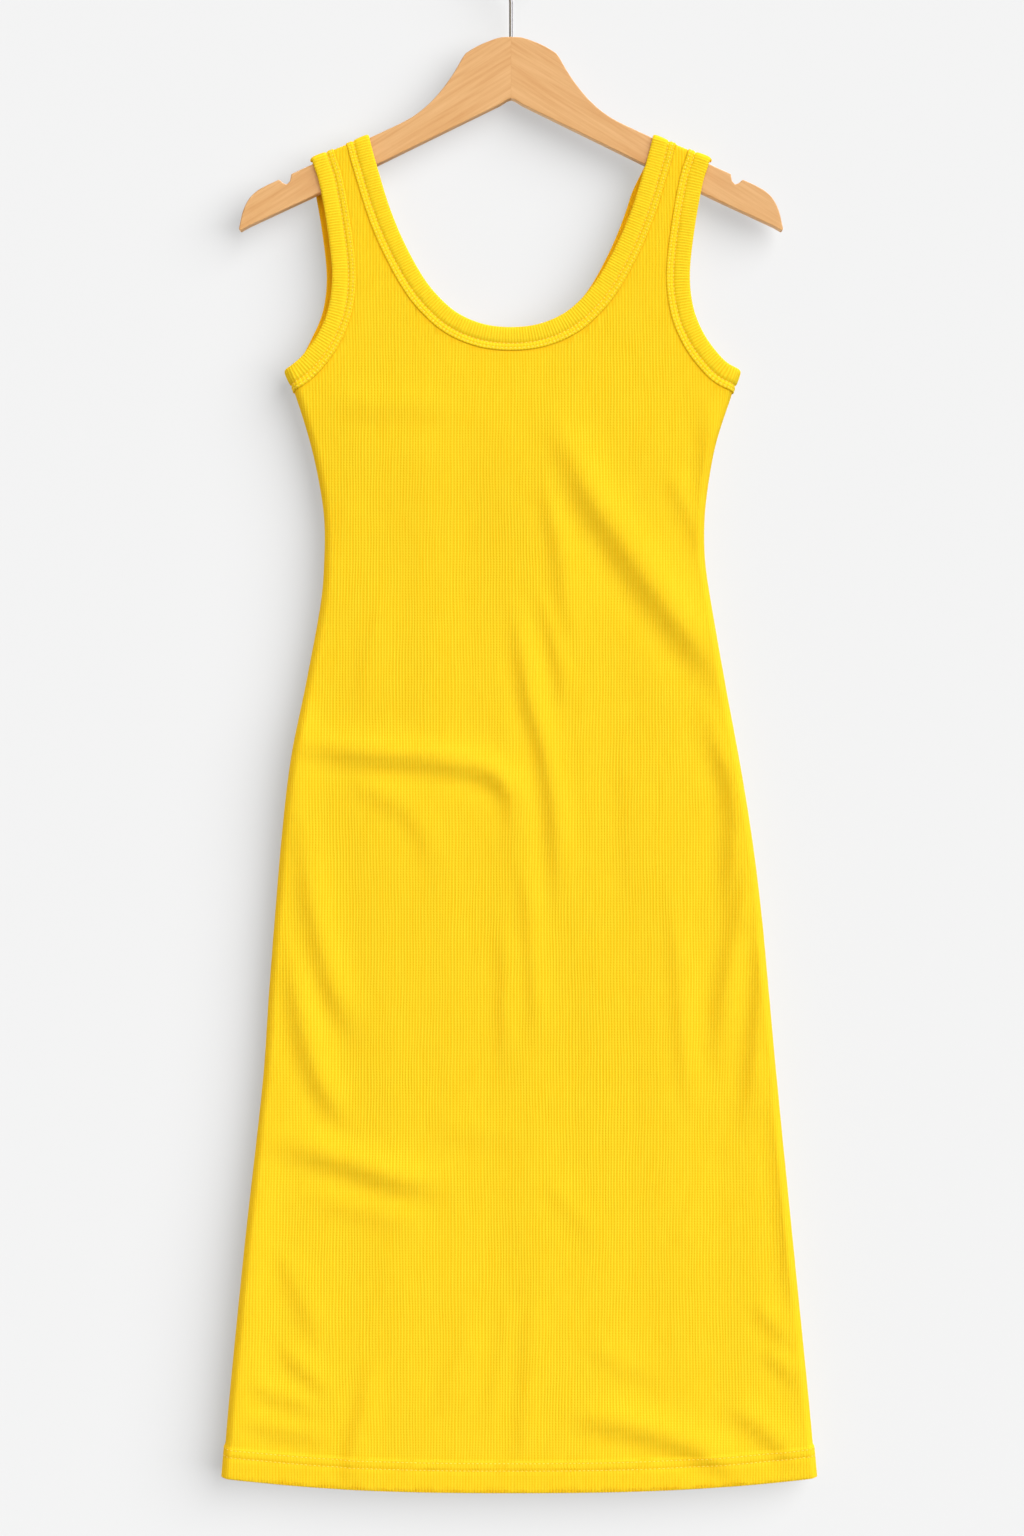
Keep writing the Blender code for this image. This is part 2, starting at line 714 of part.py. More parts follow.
def hole_cutter():
    """A peg as wide as the hook's blind hole, standing out of the top of the wood."""
    above = 6.0
    mesh = bmesh.new()
    length = HOLE_DEPTH + above
    bmesh.ops.create_cone(mesh, cap_ends=True, segments=16, radius1=HOLE_RADIUS * MM,
                          radius2=HOLE_RADIUS * MM, depth=length * MM)
    data = bpy.data.meshes.new("hook_hole")
    mesh.to_mesh(data)
    mesh.free()
    cutter = bpy.data.objects.new("hook_hole", data)
    cutter.location.z = (-HOOK_RISE + above - length / 2) * MM
    cutter.hide_render = True
    cutter.display_type = "WIRE"
    bpy.context.collection.objects.link(cutter)
    return cutter


def hook_path():
    """Centre line of the wire: up out of the wood, aside to the left, and round the loop."""
    centre = Vector((0, -(HOOK_RADIUS - WIRE_RADIUS)))
    reach = HOOK_RADIUS + HOOK_BEND_RADIUS
    bend = Vector((-HOOK_BEND_RADIUS, centre.y - math.sqrt(reach**2 - HOOK_BEND_RADIUS**2)))
    to_centre = centre - bend
    bend_end = math.degrees(math.atan2(to_centre.y, to_centre.x))
    path = [Vector((0, -HOOK_RISE - HOOK_SINK)), Vector((0, (bend.y - HOOK_RISE) / 2))]

    def arc(middle, radius, first, last):
        count = math.ceil(abs(last - first) / WIRE_ARC_STEP)
        for k in range(count + 1):
            angle = math.radians(first + (last - first) * k / count)
            path.append(middle + Vector((math.cos(angle), math.sin(angle))) * radius)

    arc(bend, HOOK_BEND_RADIUS, 0, bend_end)
    path.pop()
    arc(centre, HOOK_RADIUS, bend_end + 180, HOOK_TIP_ANGLE)
    return path


def build_hook(material):
    path = hook_path()
    mesh = bmesh.new()
    rings = []
    for i, place in enumerate(path):
        heading = (path[min(i + 1, len(path) - 1)] - path[max(i - 1, 0)]).normalized()
        aside = Vector((heading.y, 0, -heading.x))
        middle = Vector((place.x, 0, place.y))
        rings.append(wire_ring(mesh, middle, aside, WIRE_RADIUS))
    tip = middle + Vector((heading.x, 0, heading.y)) * WIRE_RADIUS * 0.7
    rings.append(wire_ring(mesh, tip, aside, WIRE_RADIUS * 0.55))
    for ring, following in zip(rings, rings[1:]):
        for k in range(WIRE_SIDES):
            after = (k + 1) % WIRE_SIDES
            mesh.faces.new([ring[k], ring[after], following[after], following[k]])
    mesh.faces.new(rings[0])
    mesh.faces.new(rings[-1])
    return finish_mesh("hanger_hook", mesh, material, sharp_angle=50.0)


def wire_ring(mesh, middle, aside, radius):
    ring = []
    for k in range(WIRE_SIDES):
        angle = 2 * math.pi * k / WIRE_SIDES
        point = middle + (aside * math.cos(angle) + Vector((0, 1, 0)) * math.sin(angle)) * radius
        ring.append(mesh.verts.new(point * MM))
    return ring


def main():
    clear_scene()
    cloth = make_material("yellow rib knit", CLOTH_COLOUR, 0.85)
    back_cloth = make_material("yellow rib knit back", CLOTH_COLOUR, 0.85)
    neck_band = make_material("yellow neck band", BAND_COLOUR, 0.85)
    arm_bands = {side: make_material(f"yellow {side} armhole band", BAND_COLOUR, 0.85)
                 for side in ("left", "right")}
    wood = make_material("pale lacquered beech", WOOD_COLOUR, 0.45)
    steel = make_material("bright steel wire", STEEL_COLOUR, 0.28, 1.0)

    build_panel("front_panel", FRONT, cloth)
    build_panel("back_panel", BACK, back_cloth)
    build_band("neck_binding", neck_stations(FRONT), neck_stations(BACK), neck_band)
    for side, side_sign in (("left", -1), ("right", 1)):
        build_band(f"armhole_binding_{side}", armhole_stations(FRONT, side_sign),
                   armhole_stations(BACK, side_sign), arm_bands[side])
    build_wood(wood)
    build_hook(steel)


main()
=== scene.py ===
"""Ribbed tank dress on a wooden clothes hanger: fine cloth, bindings, stitches, wood, wire and stage.

Lengths in the tables are millimetres; a "drop" is the height below the top of the wood and a
"reach" the distance from the middle. The cloth is worked out in cut coordinates, "across" and
"down", which run over a panel and round its edges, and surface() folds them onto the hanging
shape. The front of the dress faces -Y and +X is on the right as seen from the front.
"""
import functools
import math
from collections import namedtuple

import bmesh
import bpy
import numpy as np
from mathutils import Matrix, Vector
from mathutils.geometry import delaunay_2d_cdt


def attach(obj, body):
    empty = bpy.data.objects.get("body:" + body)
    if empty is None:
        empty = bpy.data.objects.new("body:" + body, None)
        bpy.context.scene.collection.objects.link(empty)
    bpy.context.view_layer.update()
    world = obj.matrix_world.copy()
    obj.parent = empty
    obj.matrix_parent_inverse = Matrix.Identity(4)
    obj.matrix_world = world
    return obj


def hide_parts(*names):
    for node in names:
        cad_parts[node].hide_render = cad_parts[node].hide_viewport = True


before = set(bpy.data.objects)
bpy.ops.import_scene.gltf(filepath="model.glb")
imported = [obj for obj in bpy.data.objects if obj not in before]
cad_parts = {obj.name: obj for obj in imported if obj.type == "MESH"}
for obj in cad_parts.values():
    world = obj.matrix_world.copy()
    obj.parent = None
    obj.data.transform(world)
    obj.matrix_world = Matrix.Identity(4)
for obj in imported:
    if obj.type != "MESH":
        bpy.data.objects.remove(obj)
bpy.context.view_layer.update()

bl_info = {
    "name": "Ribbed tank dress",
    "version": (1, 0, 0),
    "blender": (4, 5, 0),
    "location": "View3D > Sidebar > Dress",
    "description": "Builds a rib-knit tank dress on its wooden hanger",
    "category": "Add Mesh",
}

MM = 0.001

# Cloth
WALL = 1.2
SEAM_GAP = 0.12
FRONT = -1
BACK = 1

# Hem, turned up inside and stitched down in two rows. A panel's outline counts as its cut edge
# from HEM_CUT_HEIGHT over the hem's lower edge
HEM_HEIGHT = 24.5
HEM_STEP = 1.5
HEM_PROUD = 1.1
HEM_WALL = 2.2
HEM_CORNER_DROP = 1174.0
HEM_SAG = 11.5
HEM_SAG_POWER = 2.6
HEM_EDGE_ROUND = 1.8
HEM_EDGE_SINK = 0.8
HEM_EDGE_THINNER = 0.55
HEM_CUT_HEIGHT = 1.0
HEM_STITCH_HEIGHTS = (18.0, 24.0)
STITCH_GROOVE = 0.5
STITCH_GROOVE_WIDTH = 1.0

# How much painted shade, a deeper amber colour in place of shade, shows in a groove, at a seam and on
# the inside
GROOVE_PAINTED_SHADE = 0.3
EDGE_PAINTED_SHADE = 0.35
INSIDE_PAINTED_SHADE = 0.7

# Bindings: width from the free edge, height over the panel's outside, how much of the cross
# ribs shows there, and how much painted shade, a deeper amber colour, it takes in a seam or
# on the inside. BAND_TOP is the number of a point on the flat top
BAND_WIDTH = 19.5
BandPoint = namedtuple("BandPoint", "width height ribs tucked", defaults=(0.0,))
BAND_SECTION = (
    BandPoint(0.0, -0.6, 0.5),
    BandPoint(0.15, 0.05, 0.8),
    BandPoint(0.7, 0.62, 1.0),
    BandPoint(1.8, 0.98, 1.0),
    BandPoint(4.0, 1.15, 1.0),
    BandPoint(7.0, 1.15, 1.0),
    BandPoint(10.0, 1.02, 1.0),
    BandPoint(12.0, 0.75, 0.9),
    BandPoint(12.8, 0.2, 0.4, 0.25),
    BandPoint(13.5, -0.1, 0.3, 0.45),
    BandPoint(14.2, 0.25, 0.5, 0.2),
    BandPoint(14.9, 0.8, 0.8),
    BandPoint(15.9, 0.95, 0.8),
    BandPoint(17.0, 0.62, 0.5, 0.1),
    BandPoint(17.9, 0.9, 0.8),
    BandPoint(18.6, 0.94, 0.9),
    BandPoint(19.2, 0.55, 0.6, 0.2),
    BandPoint(BAND_WIDTH, -0.05, 0.2, 0.7),
    BandPoint(BAND_WIDTH, -1.75, 0.0, 1.0),
    BandPoint(14.0, -1.85, 0.0, 0.7),
    BandPoint(7.0, -1.85, 0.0, 0.7),
    BandPoint(1.4, -1.8, 0.2, 0.7),
    BandPoint(0.3, -1.4, 0.4, 0.6),
)
BAND_TOP = 4
BAND_STITCH_WIDTHS = (13.5, 17.2)
THREAD_LIFT = 0.1
THREAD_FLATNESS = 0.7
STITCH_UNEVENNESS = 0.08
STITCH_SEED = 7

# How the cloth turns over the hanger and round the sides. The back strays sideways by BACK_SHIFT
# between two drops, each with the length over which the shift comes and goes
HANG_DEPTH = 8.5
SHOULDER_ROUND = 3.5
SHOULDER_REACH = 116.0
SHOULDER_DROP = 80.4
SHOULDER_SLOPE = 0.41
SIDE_ROUND = 7.0
CROWN_LOSS = 0.7
UNDERARM_DROP = 272.5
BACK_SHIFT = 5.2
BACK_SHIFT_IN = (95, 35)
BACK_SHIFT_OUT = (240, 32)
BACK_NECK_DEEPER = 5.0

# Side edges: reach to the left and right of the middle at each drop
Section = namedtuple("Section", "drop left right")
SECTIONS = (
    Section(272, 184.5, 187.0),
    Section(291, 176.5, 180.5),
    Section(329, 164.5, 168.0),
    Section(362, 157.0, 161.5),
    Section(394, 152.5, 158.0),
    Section(427, 152.5, 158.5),
    Section(459, 155.0, 163.0),
    Section(525, 167.0, 174.5),
    Section(590, 180.0, 186.5),
    Section(655, 187.5, 197.0),
    Section(720, 193.0, 205.0),
    Section(785, 198.0, 211.0),
    Section(850, 202.5, 217.0),
    Section(981, 217.0, 230.0),
    Section(1111, 230.0, 243.0),
    Section(1186, 236.4, 249.9),
)

# How far each panel stands off the middle plane
Depth = namedtuple("Depth", "drop front back")
DEPTHS = (
    Depth(80, 8.5, 8.5),
    Depth(180, 8.5, 8.5),
    Depth(250, 9.5, 9.0),
    Depth(340, 12.5, 10.5),
    Depth(430, 11.5, 10.5),
    Depth(600, 14.0, 12.0),
    Depth(850, 13.0, 12.0),
    Depth(1186, 15.0, 13.0),
)

# Free edges of the bindings, from the shoulder down
Knot = namedtuple("Knot", "reach drop")
NECK_EDGE = (
    Knot(113.3, 91.0),
    Knot(107.8, 110.5),
    Knot(98.6, 140.0),
    Knot(86.5, 169.0),
    Knot(70.0, 198.5),
    Knot(53.0, 218.0),
    Knot(38.0, 228.5),
    Knot(20.0, 235.0),
    Knot(0.0, 237.0),
)
NECK_SHOULDER_REACH = 117.3
ARMHOLE_EDGE = (
    Knot(160.6, 106.0),
    Knot(156.0, 121.0),
    Knot(149.6, 157.0),
    Knot(145.8, 193.0),
    Knot(148.4, 220.0),
    Knot(156.4, 241.0),
    Knot(167.8, 257.5),
    Knot(178.5, 267.5),
)
ARMHOLE_SHOULDER_REACH = 164.2

# Main creases: height of the crest, its half width, how far the hollow on its shaded side sinks,
# and the crest's path as (x, drop), which runs down or to the right
Fold = namedtuple("Fold", "height width sink path")
FRONT_FOLDS = (
    Fold(5.1, 14.0, 1.8, ((27, 294), (46, 333), (66, 374), (86, 405), (108, 437), (128, 464),
                          (148, 491), (166, 513), (212, 568))),
    Fold(1.8, 8.5, 0.6, ((24, 332), (33, 385), (41, 425), (46, 465), (58, 516))),
    Fold(3.0, 8.5, 1.2, ((1, 446), (8, 488), (16, 539), (25, 571), (33, 609), (37, 642), (40, 690),
                         (40, 732))),
    Fold(3.8, 9.0, 1.5, ((-215, 570), (-165, 578), (-131, 583), (-74, 588), (-45, 592), (-20, 598),
                         (-4, 611), (2, 632), (4, 700))),
    Fold(1.4, 9.5, 0.4, ((-142, 600), (-112, 615), (-88, 628), (-70, 650), (-58, 695))),
    Fold(3.3, 10.5, 1.2, ((-168, 620), (-163, 688), (-157, 726), (-148, 762), (-136, 792), (-116, 826))),
    Fold(3.3, 10.5, 1.2, ((-180, 716), (-173, 775), (-168, 808), (-158, 842), (-144, 868), (-116, 900))),
    Fold(3.8, 10.5, 1.4, ((-222, 892), (-171, 906), (-144, 913), (-126, 919), (-99, 928), (-72, 933),
                          (-30, 938))),
    Fold(4.2, 10.5, 1.5, ((156, 530), (171, 578), (180, 606), (184, 636), (183, 662), (180, 696),
                          (174, 736))),
    Fold(3.4, 10.0, 1.2, ((204, 640), (193, 695), (187, 720), (181, 746), (176, 775), (171, 815),
                          (169, 862))),
    Fold(3.4, 9.5, 1.2, ((204, 690), (206, 735), (205, 770), (202, 805), (199, 840), (195, 870),
                         (188, 905))),
    Fold(2.1, 9.5, 0.8, ((215, 836), (222, 894), (225, 943), (230, 1000), (234, 1060))),
    Fold(3.0, 10.0, 1.4, ((36, 1119), (64, 1125), (100, 1132), (127, 1140), (149, 1148), (172, 1160),
                          (196, 1180))),
    Fold(2.2, 9.5, 0.9, ((170, 1108), (197, 1127), (216, 1142), (240, 1168))),
    Fold(2.4, 9.0, 1.0, ((-108, 1070), (-120, 1122), (-127, 1150), (-133, 1196))),
    Fold(4.2, 13.0, 0.5, ((-197, 820), (-208, 950), (-216, 1026), (-223, 1089), (-229, 1150),
                          (-234, 1230))),
)
BACK_FOLDS = (
    Fold(4.5, 14.0, 1.5, ((-24, 330), (-50, 372), (-80, 404), (-124, 460), (-190, 530))),
    Fold(2.8, 9.0, 1.1, ((14, 430), (2, 520), (-10, 600), (-12, 710))),
    Fold(3.6, 10.5, 1.4, ((0, 608), (70, 596), (130, 590), (204, 596))),
    Fold(3.1, 10.0, 1.1, ((178, 640), (168, 720), (142, 810))),
    Fold(3.1, 10.0, 1.1, ((-186, 624), (-190, 720), (-182, 830))),
    Fold(3.2, 10.5, 1.3, ((40, 948), (130, 928), (224, 898))),
    Fold(2.2, 10.0, 0.8, ((-58, 880), (-70, 1010), (-64, 1140))),
    Fold(2.7, 10.5, 1.1, ((-204, 1142), (-130, 1126), (-48, 1120))),
)

# Small creases between the main ones
FRONT_CREASES = (
    Fold(1.8, 7.5, 0.6, ((21, 444), (31, 474), (37, 498), (42, 520), (46, 554))),
    Fold(1.7, 9.0, 0.4, ((130, 676), (136, 744), (139, 793), (143, 838), (150, 896))),
    Fold(1.4, 7.5, 0.4, ((-7, 715), (-4, 760), (-5, 800), (-4, 856))),
    Fold(1.5, 7.5, 0.4, ((6, 664), (14, 700), (17, 744), (20, 790), (21, 836))),
    Fold(1.4, 10.0, 0.4, ((-124, 366), (-142, 420), (-158, 478))),
    Fold(1.0, 9.0, 0.3, ((-100, 446), (-113, 495), (-122, 556))),
    Fold(1.2, 9.0, 0.4, ((-156, 298), (-100, 302), (-40, 299))),
    Fold(2.0, 8.5, 0.6, ((164, 290), (161, 330), (161, 374), (165, 412))),
    Fold(1.5, 8.5, 0.4, ((126, 350), (140, 376), (152, 402), (166, 434))),
    Fold(2.4, 9.0, 0.8, ((-172, 528), (-175, 590), (-180, 676))),
    Fold(1.2, 8.5, 0.4, ((22, 1010), (16, 1070), (11, 1130), (10, 1180))),
    Fold(0.9, 8.5, 0.3, ((0, 1020), (-8, 1080), (-19, 1148))),
    Fold(1.2, 9.0, 0.4, ((-26, 1046), (-44, 1084), (-60, 1124))),
    Fold(1.4, 9.5, 0.4, ((-190, 976), (-177, 1010), (-164, 1040), (-154, 1066))),
    Fold(1.8, 7.5, 0.6, ((-190, 1060), (-175, 1079), (-161, 1091), (-144, 1102))),
    Fold(1.8, 7.5, 0.6, ((-218, 1096), (-200, 1103), (-184, 1109), (-166, 1114), (-146, 1116))),
    Fold(1.8, 7.5, 0.6, ((-224, 1124), (-204, 1130), (-184, 1134), (-164, 1137), (-142, 1138))),
    Fold(0.9, 10.0, 0.3, ((166, 914), (150, 954), (132, 1000))),
    Fold(0.9, 9.0, 0.3, ((26, 926), (48, 954), (74, 984))),
    Fold(0.8, 9.0, 0.3, ((-66, 890), (-26, 894), (16, 895))),
    Fold(1.2, 9.5, 0.4, ((-172, 944), (-144, 950), (-119, 956), (-95, 961), (-64, 964))),
    Fold(1.7, 8.5, 0.6, ((198, 1030), (214, 1048), (236, 1068))),
    Fold(1.7, 8.5, 0.6, ((204, 1066), (220, 1080), (240, 1100))),
    Fold(0.9, 9.0, 0.3, ((60, 1060), (90, 1080), (128, 1092))),
    Fold(0.8, 10.0, 0.3, ((92, 560), (98, 640), (96, 720))),
)
BACK_CREASES = (
    Fold(1.7, 8.0, 0.6, ((-20, 430), (-34, 500), (-42, 560))),
    Fold(1.3, 9.0, 0.4, ((118, 370), (134, 428), (148, 482))),
    Fold(1.0, 9.0, 0.4, ((94, 440), (108, 500), (114, 560))),
    Fold(1.1, 9.0, 0.4, ((42, 302), (100, 304), (152, 300))),
    Fold(1.7, 8.5, 0.6, ((-157, 290), (-154, 340), (-156, 386))),
    Fold(1.3, 8.0, 0.4, ((5, 706), (2, 780), (6, 866))),
    Fold(1.4, 9.0, 0.4, ((-126, 664), (-136, 740), (-142, 846))),
    Fold(2.1, 9.0, 0.7, ((167, 520), (172, 590), (178, 676))),
    Fold(1.0, 8.5, 0.4, ((-24, 1016), (-14, 1080), (-8, 1156))),
    Fold(1.3, 8.5, 0.4, ((144, 1036), (166, 1064), (180, 1102))),
    Fold(0.8, 9.0, 0.3, ((80, 948), (118, 958), (156, 956))),
    Fold(1.0, 9.0, 0.4, ((-166, 918), (-146, 960), (-130, 1010))),
)
FOLD_FADE = 0.3
FOLD_REACH = 3.6
STEEP_FLANK = 0.85
SOFT_FLANK = 1.45
SINK_OFFSET = 1.5
FOLD_STEPS = 4

# Wide unevenness of the cloth: the drops between which it shows, each with the length of its fade
DRAPE_IN = (285.0, 60.0)
DRAPE_OUT = (1150.0, 60.0)

# How ribs stray sideways, as waves with their lengths over 2 pi down the cloth and across it
Wave = namedtuple("Wave", "size down run phase")
RIB_WAVES = (
    Wave(0.7, 71.0, 41.0, 0.0),
    Wave(0.3, 23.0, -17.0, 1.3),
    Wave(0.16, 9.0, 6.1, 0.0),
    Wave(0.22, math.inf, 3.7, 0.0),
    Wave(0.13, math.inf, 1.9, 0.0),
)
STRAY_ROUNDS = 3

# How far ribs flatten at stitches and fade at seams, and how uneven they are
GROOVE_FLATTENS = 0.55
RIB_FADE = 2.0
RIB_UNEVENNESS = 0.22

# Spacing of the cloth's points, and steps of the curves and tables they are worked out from
COLUMNS_PER_RIB = 3
ROW_STEP = 7.6
STRAP_ROW_STEP = 1.1
STRAP_ROWS = (63.0, 100.0)
HEM_ROWS = (28.0, 26.2, 25.3, 24.6, 24.0, 23.4, 22.6, 20.8, 19.2, 18.6, 18.0, 17.4, 16.6, 14.0, 10.5,
            7.0, 4.0, 1.9, 0.9)
EDGE_SPACING = 2.0
EDGE_CLEARANCE = 0.42
INSIDE_SPACING = 7.0
INSIDE_CLEARANCE = 3.0
TOP_ZONE = 300.0
CURVE_STEPS = 16
SLOPE_STEP = 0.05
ARC_TABLE_STEP = 1.0
ARC_TABLE_MARGIN = 20.0

# Wooden hanger, its outline given for one side
HOOK_RISE = 75.0
WOOD_THICKNESS = 12.0
WOOD_BEVEL = 1.3
WOOD_BEVEL_STEPS = 4
WOOD_BEVEL_ANGLE = 50
WOOD_CURVE_STEPS = 6
WOOD_HEAD_TOP = (Knot(0, 0), Knot(9, 0.6), Knot(19, 3.9), Knot(28.5, 8.2), Knot(37, 13.4))
WOOD_NECK_TOP = (Knot(39.5, 17.0), Knot(48, 31.5), Knot(58, 45.0), Knot(68, 55.6), Knot(78, 63.6),
                 Knot(88, 69.5), Knot(107, 78.6))
WOOD_NOTCH = (Knot(179.2, 111.9), Knot(180.2, 117.6), Knot(182.8, 120.4), Knot(185.6, 119.4),
              Knot(189.0, 116.4))
WOOD_END = (Knot(199, 121.0), Knot(207, 125.6), Knot(213.5, 132.0), Knot(218.5, 142.0),
            Knot(222.0, 157.0))
WOOD_UNDERSIDE = (Knot(220.6, 158.2), Knot(214, 154.4), Knot(165.4, 131.8), Knot(9, 55.0),
                  Knot(3, 51.2))
WOOD_APEX_DROP = 50.2

# Grain: its slope in degrees, what sets one arm's noise off from the other's, how strong the
# flecks' noise has to be to show, and half the width of the middle joint in metres
GRAIN_SLOPE = 32.0
ARM_NOISE_STEP = 0.37
FLECKS_FROM = 0.66
JOINT_HALF_WIDTH = 0.00016

# Wire hook, its angles in degrees
WIRE_RADIUS = 1.6
HOOK_RADIUS = 20.0
HOOK_BEND_RADIUS = 9.0
HOOK_TIP_ANGLE = -28.0
HOOK_SINK = 17.0
WIRE_SIDES = 16
WIRE_ARC_STEP = 4.0
WIRE_TIP_TURNS = (30, 60, 80)

# Angles between faces, in degrees, over which an edge is sharp
PANEL_SHARP = 40
BAND_SHARP = 80
WOOD_SHARP = 35
WIRE_SHARP = 60

# Knit, thread and steel: one loop's length, shares of the painted shade colour in the rib valleys, and
# plain colours
LOOP_PITCH = 1.3
PANEL_VALLEY_SHADE_SHARE = 0.75
BAND_VALLEY_SHADE_SHARE = 0.7
THREAD_SHADE = 0.82
SHEEN_TINT = (1.0, 0.75, 0.1, 1.0)
STEEL_DARK = (0.22, 0.215, 0.235, 1.0)
STEEL_LIGHT = (0.33, 0.33, 0.35, 1.0)

# Stage, metres
WALL_PLACE = 0.022
WALL_TOP = 1.6
FLOOR_HEIGHT = -1.36
STAGE_REACH = 3.0
STAGE_GREY = (0.1, 0.1, 0.1, 1.0)
STAGE_SHADE = 0.985
STAGE_GLOW_COLOUR = (0.99, 0.995, 1.0, 1.0)
WALL_GLOW = 0.485
FLOOR_GLOW = 0.6
WORLD_LIGHT = (0.15, 0.13, 0.1, 1.0)
WORLD_SEEN = (0.86, 0.86, 0.86, 1.0)
CAMERA_DISTANCE = 2.962
CAMERA_LENS = 85.0
CAMERA_AIM = (0.0008, 0.0, -0.6712)

# Lights: where each shines, its strength and spread in degrees, and the list of what it lights
LAMP_DISTANCE = 3.0
WHITE = (1.0, 1.0, 1.0)
WARM = (1.0, 0.99, 0.965)
AMBER = (1.0, 0.86, 0.6)
DEEP_AMBER = (1.0, 0.72, 0.3)
Light = namedtuple("Light", "name direction strength spread colour lit")
LIGHTS = (
    Light("stage key", (-0.85, 1.0, -0.4), 17.0, 62, WHITE, "stage"),
    Light("key", (-0.9, 1.0, -0.9), 3.9, 80, WARM, "pieces"),
    Light("fill", (0.6, 1.0, -0.1), 0.75, 60, AMBER, "pieces"),
    Light("edge", (1.0, 0.15, -0.1), 0.8, 50, DEEP_AMBER, "dress"),
    Light("from below", (0.0, 0.1, 1.0), 1.5, 40, WARM, "hanger"),
    Light("key behind", (-0.3, -1.0, -0.7), 3.2, 60, WARM, "pieces"),
    Light("fill behind", (0.6, -1.0, -0.1), 0.75, 60, AMBER, "pieces"),
)


def length_property(name, description, default, low, high):
    return bpy.props.FloatProperty(name=name, description=description, default=default, min=low,
                                   max=high, precision=5, unit="LENGTH")


def colour_property(name, description, default):
    return bpy.props.FloatVectorProperty(name=name, description=description, size=4,
                                         subtype="COLOR", default=(*default, 1.0), min=0.0, max=1.0)


class DressSizes(bpy.types.PropertyGroup):
    """Sizes and colours that set the look of the cloth, the wood and the wire"""

    rib_pitch: length_property(
        "Rib pitch", "Distance from one rib of the panels to the next", 0.00245, 0.0015, 0.006)
    rib_height: length_property(
        "Rib height", "Height of the panels' ribs over the cloth's middle", 0.00026, 0.0, 0.001)
    band_rib_pitch: length_property(
        "Binding rib pitch", "Distance from one cross rib of a binding to the next",
        0.0022, 0.0015, 0.006)
    band_rib_height: length_property(
        "Binding rib height", "Height of the bindings' cross ribs", 0.0004, 0.0, 0.001)
    stitch_pitch: length_property(
        "Stitch pitch", "Distance from one stitch to the next", 0.0036, 0.001, 0.01)
    stitch_length: length_property(
        "Stitch length", "Length of thread that shows at one stitch", 0.0028, 0.0005, 0.008)
    stitch_width: length_property(
        "Stitch width", "Thickness of the sewing thread", 0.0008, 0.0002, 0.002)
    cloth_colour: colour_property("Cloth", "Colour of the ribs' tops", (0.88, 0.635, 0.0215))
    band_colour: colour_property("Bindings", "Colour of the bindings' ribs", (0.905, 0.695, 0.026))
    # Painted shade: the darker colour between the ribs stands in for the shade in the rib valleys
    valley_shade_colour: colour_property("Painted rib valley shade", "Colour between the ribs", (0.885, 0.515, 0.004))
    # Painted shade: the deeper amber colour stands in for shade in seams, grooves and on the inside
    painted_shade_colour: colour_property(
        "Painted seam shade", "Colour deep in the seams and on the inside", (0.9, 0.43, 0.0))
    thread_colour: colour_property("Thread", "Colour of the sewing thread", (1.0, 0.8, 0.09))
    wood_colour: colour_property(
        "Wood", "Colour of the beech between its grain lines", (0.705, 0.41, 0.178))
    grain_colour: colour_property(
        "Wood grain", "Colour of the beech's grain lines", (0.6, 0.3, 0.1))


# Curves and tables

def smoothstep(value):
    value = np.clip(value, 0.0, 1.0)
    return value * value * (3 - 2 * value)


def read_table(rows, column, drops):
    """One column of a table at the given drops, on a smooth curve through its rows."""
    knots = np.array([row.drop for row in rows], float)
    values = np.array([getattr(row, column) for row in rows], float)
    low = np.maximum(np.arange(len(rows)) - 1, 0)
    high = np.minimum(np.arange(len(rows)) + 1, len(rows) - 1)
    slopes = (values[high] - values[low]) / (knots[high] - knots[low])
    i = np.clip(np.searchsorted(knots, drops) - 1, 0, len(rows) - 2)
    gap = knots[i + 1] - knots[i]
    t = np.clip((drops - knots[i]) / gap, 0.0, 1.0)
    return ((2 * t**3 - 3 * t**2 + 1) * values[i] + (t**3 - 2 * t**2 + t) * gap * slopes[i]
            + (3 * t**2 - 2 * t**3) * values[i + 1] + (t**3 - t**2) * gap * slopes[i + 1])


def curve_through(knots, steps=CURVE_STEPS):
    """Close points on a smooth curve through the knots."""
    knots = np.array(knots, float)
    padded = np.vstack([knots[0] * 2 - knots[1], knots, knots[-1] * 2 - knots[-2]])
    t = (np.arange(steps) / steps)[:, None]
    runs = []
    for before, start, end, after in zip(padded, padded[1:], padded[2:], padded[3:]):
        runs.append(0.5 * (2 * start + (end - before) * t
                           + (2 * before - 5 * start + 4 * end - after) * t**2
                           + (3 * start - before - 3 * end + after) * t**3))
    return np.vstack([*runs, knots[-1:]])


def travel(points):
    """Distance along a polyline at each of its points."""
    return np.concatenate([[0.0], np.cumsum(np.linalg.norm(np.diff(points, axis=0), axis=1))])


def blend_columns(wanted, travelled, rows):
    """Rows of values at the wanted distances, from those at the travelled ones."""
    return np.column_stack([np.interp(wanted, travelled, column) for column in rows.T])


def evenly(points, count):
    """count + 1 places at even distances along a polyline."""
    travelled = travel(points)
    return blend_columns(np.linspace(0.0, travelled[-1], count + 1), travelled, points)


def polyline_length(points):
    return float(np.linalg.norm(np.diff(points, axis=0), axis=1).sum())


def unit(vectors):
    return vectors / np.linalg.norm(vectors, axis=-1, keepdims=True)


def side_of(across):
    """1 on the right of the middle and -1 on the left."""
    return np.where(across > 0, 1.0, -1.0)


# The hanging shape

def hem_drop(across):
    """Drop of the hem's edge, lowest in the middle."""
    reach = np.where(across > 0, SECTIONS[-1].right, SECTIONS[-1].left)
    share = np.minimum(1.0, np.abs(across) / reach)
    return HEM_CORNER_DROP + HEM_SAG * (1 - share**HEM_SAG_POWER)


def hem_share(across, down):
    """0 above the turned-up hem and 1 on it."""
    return smoothstep((down - hem_drop(across) + HEM_HEIGHT + HEM_STEP) / HEM_STEP)


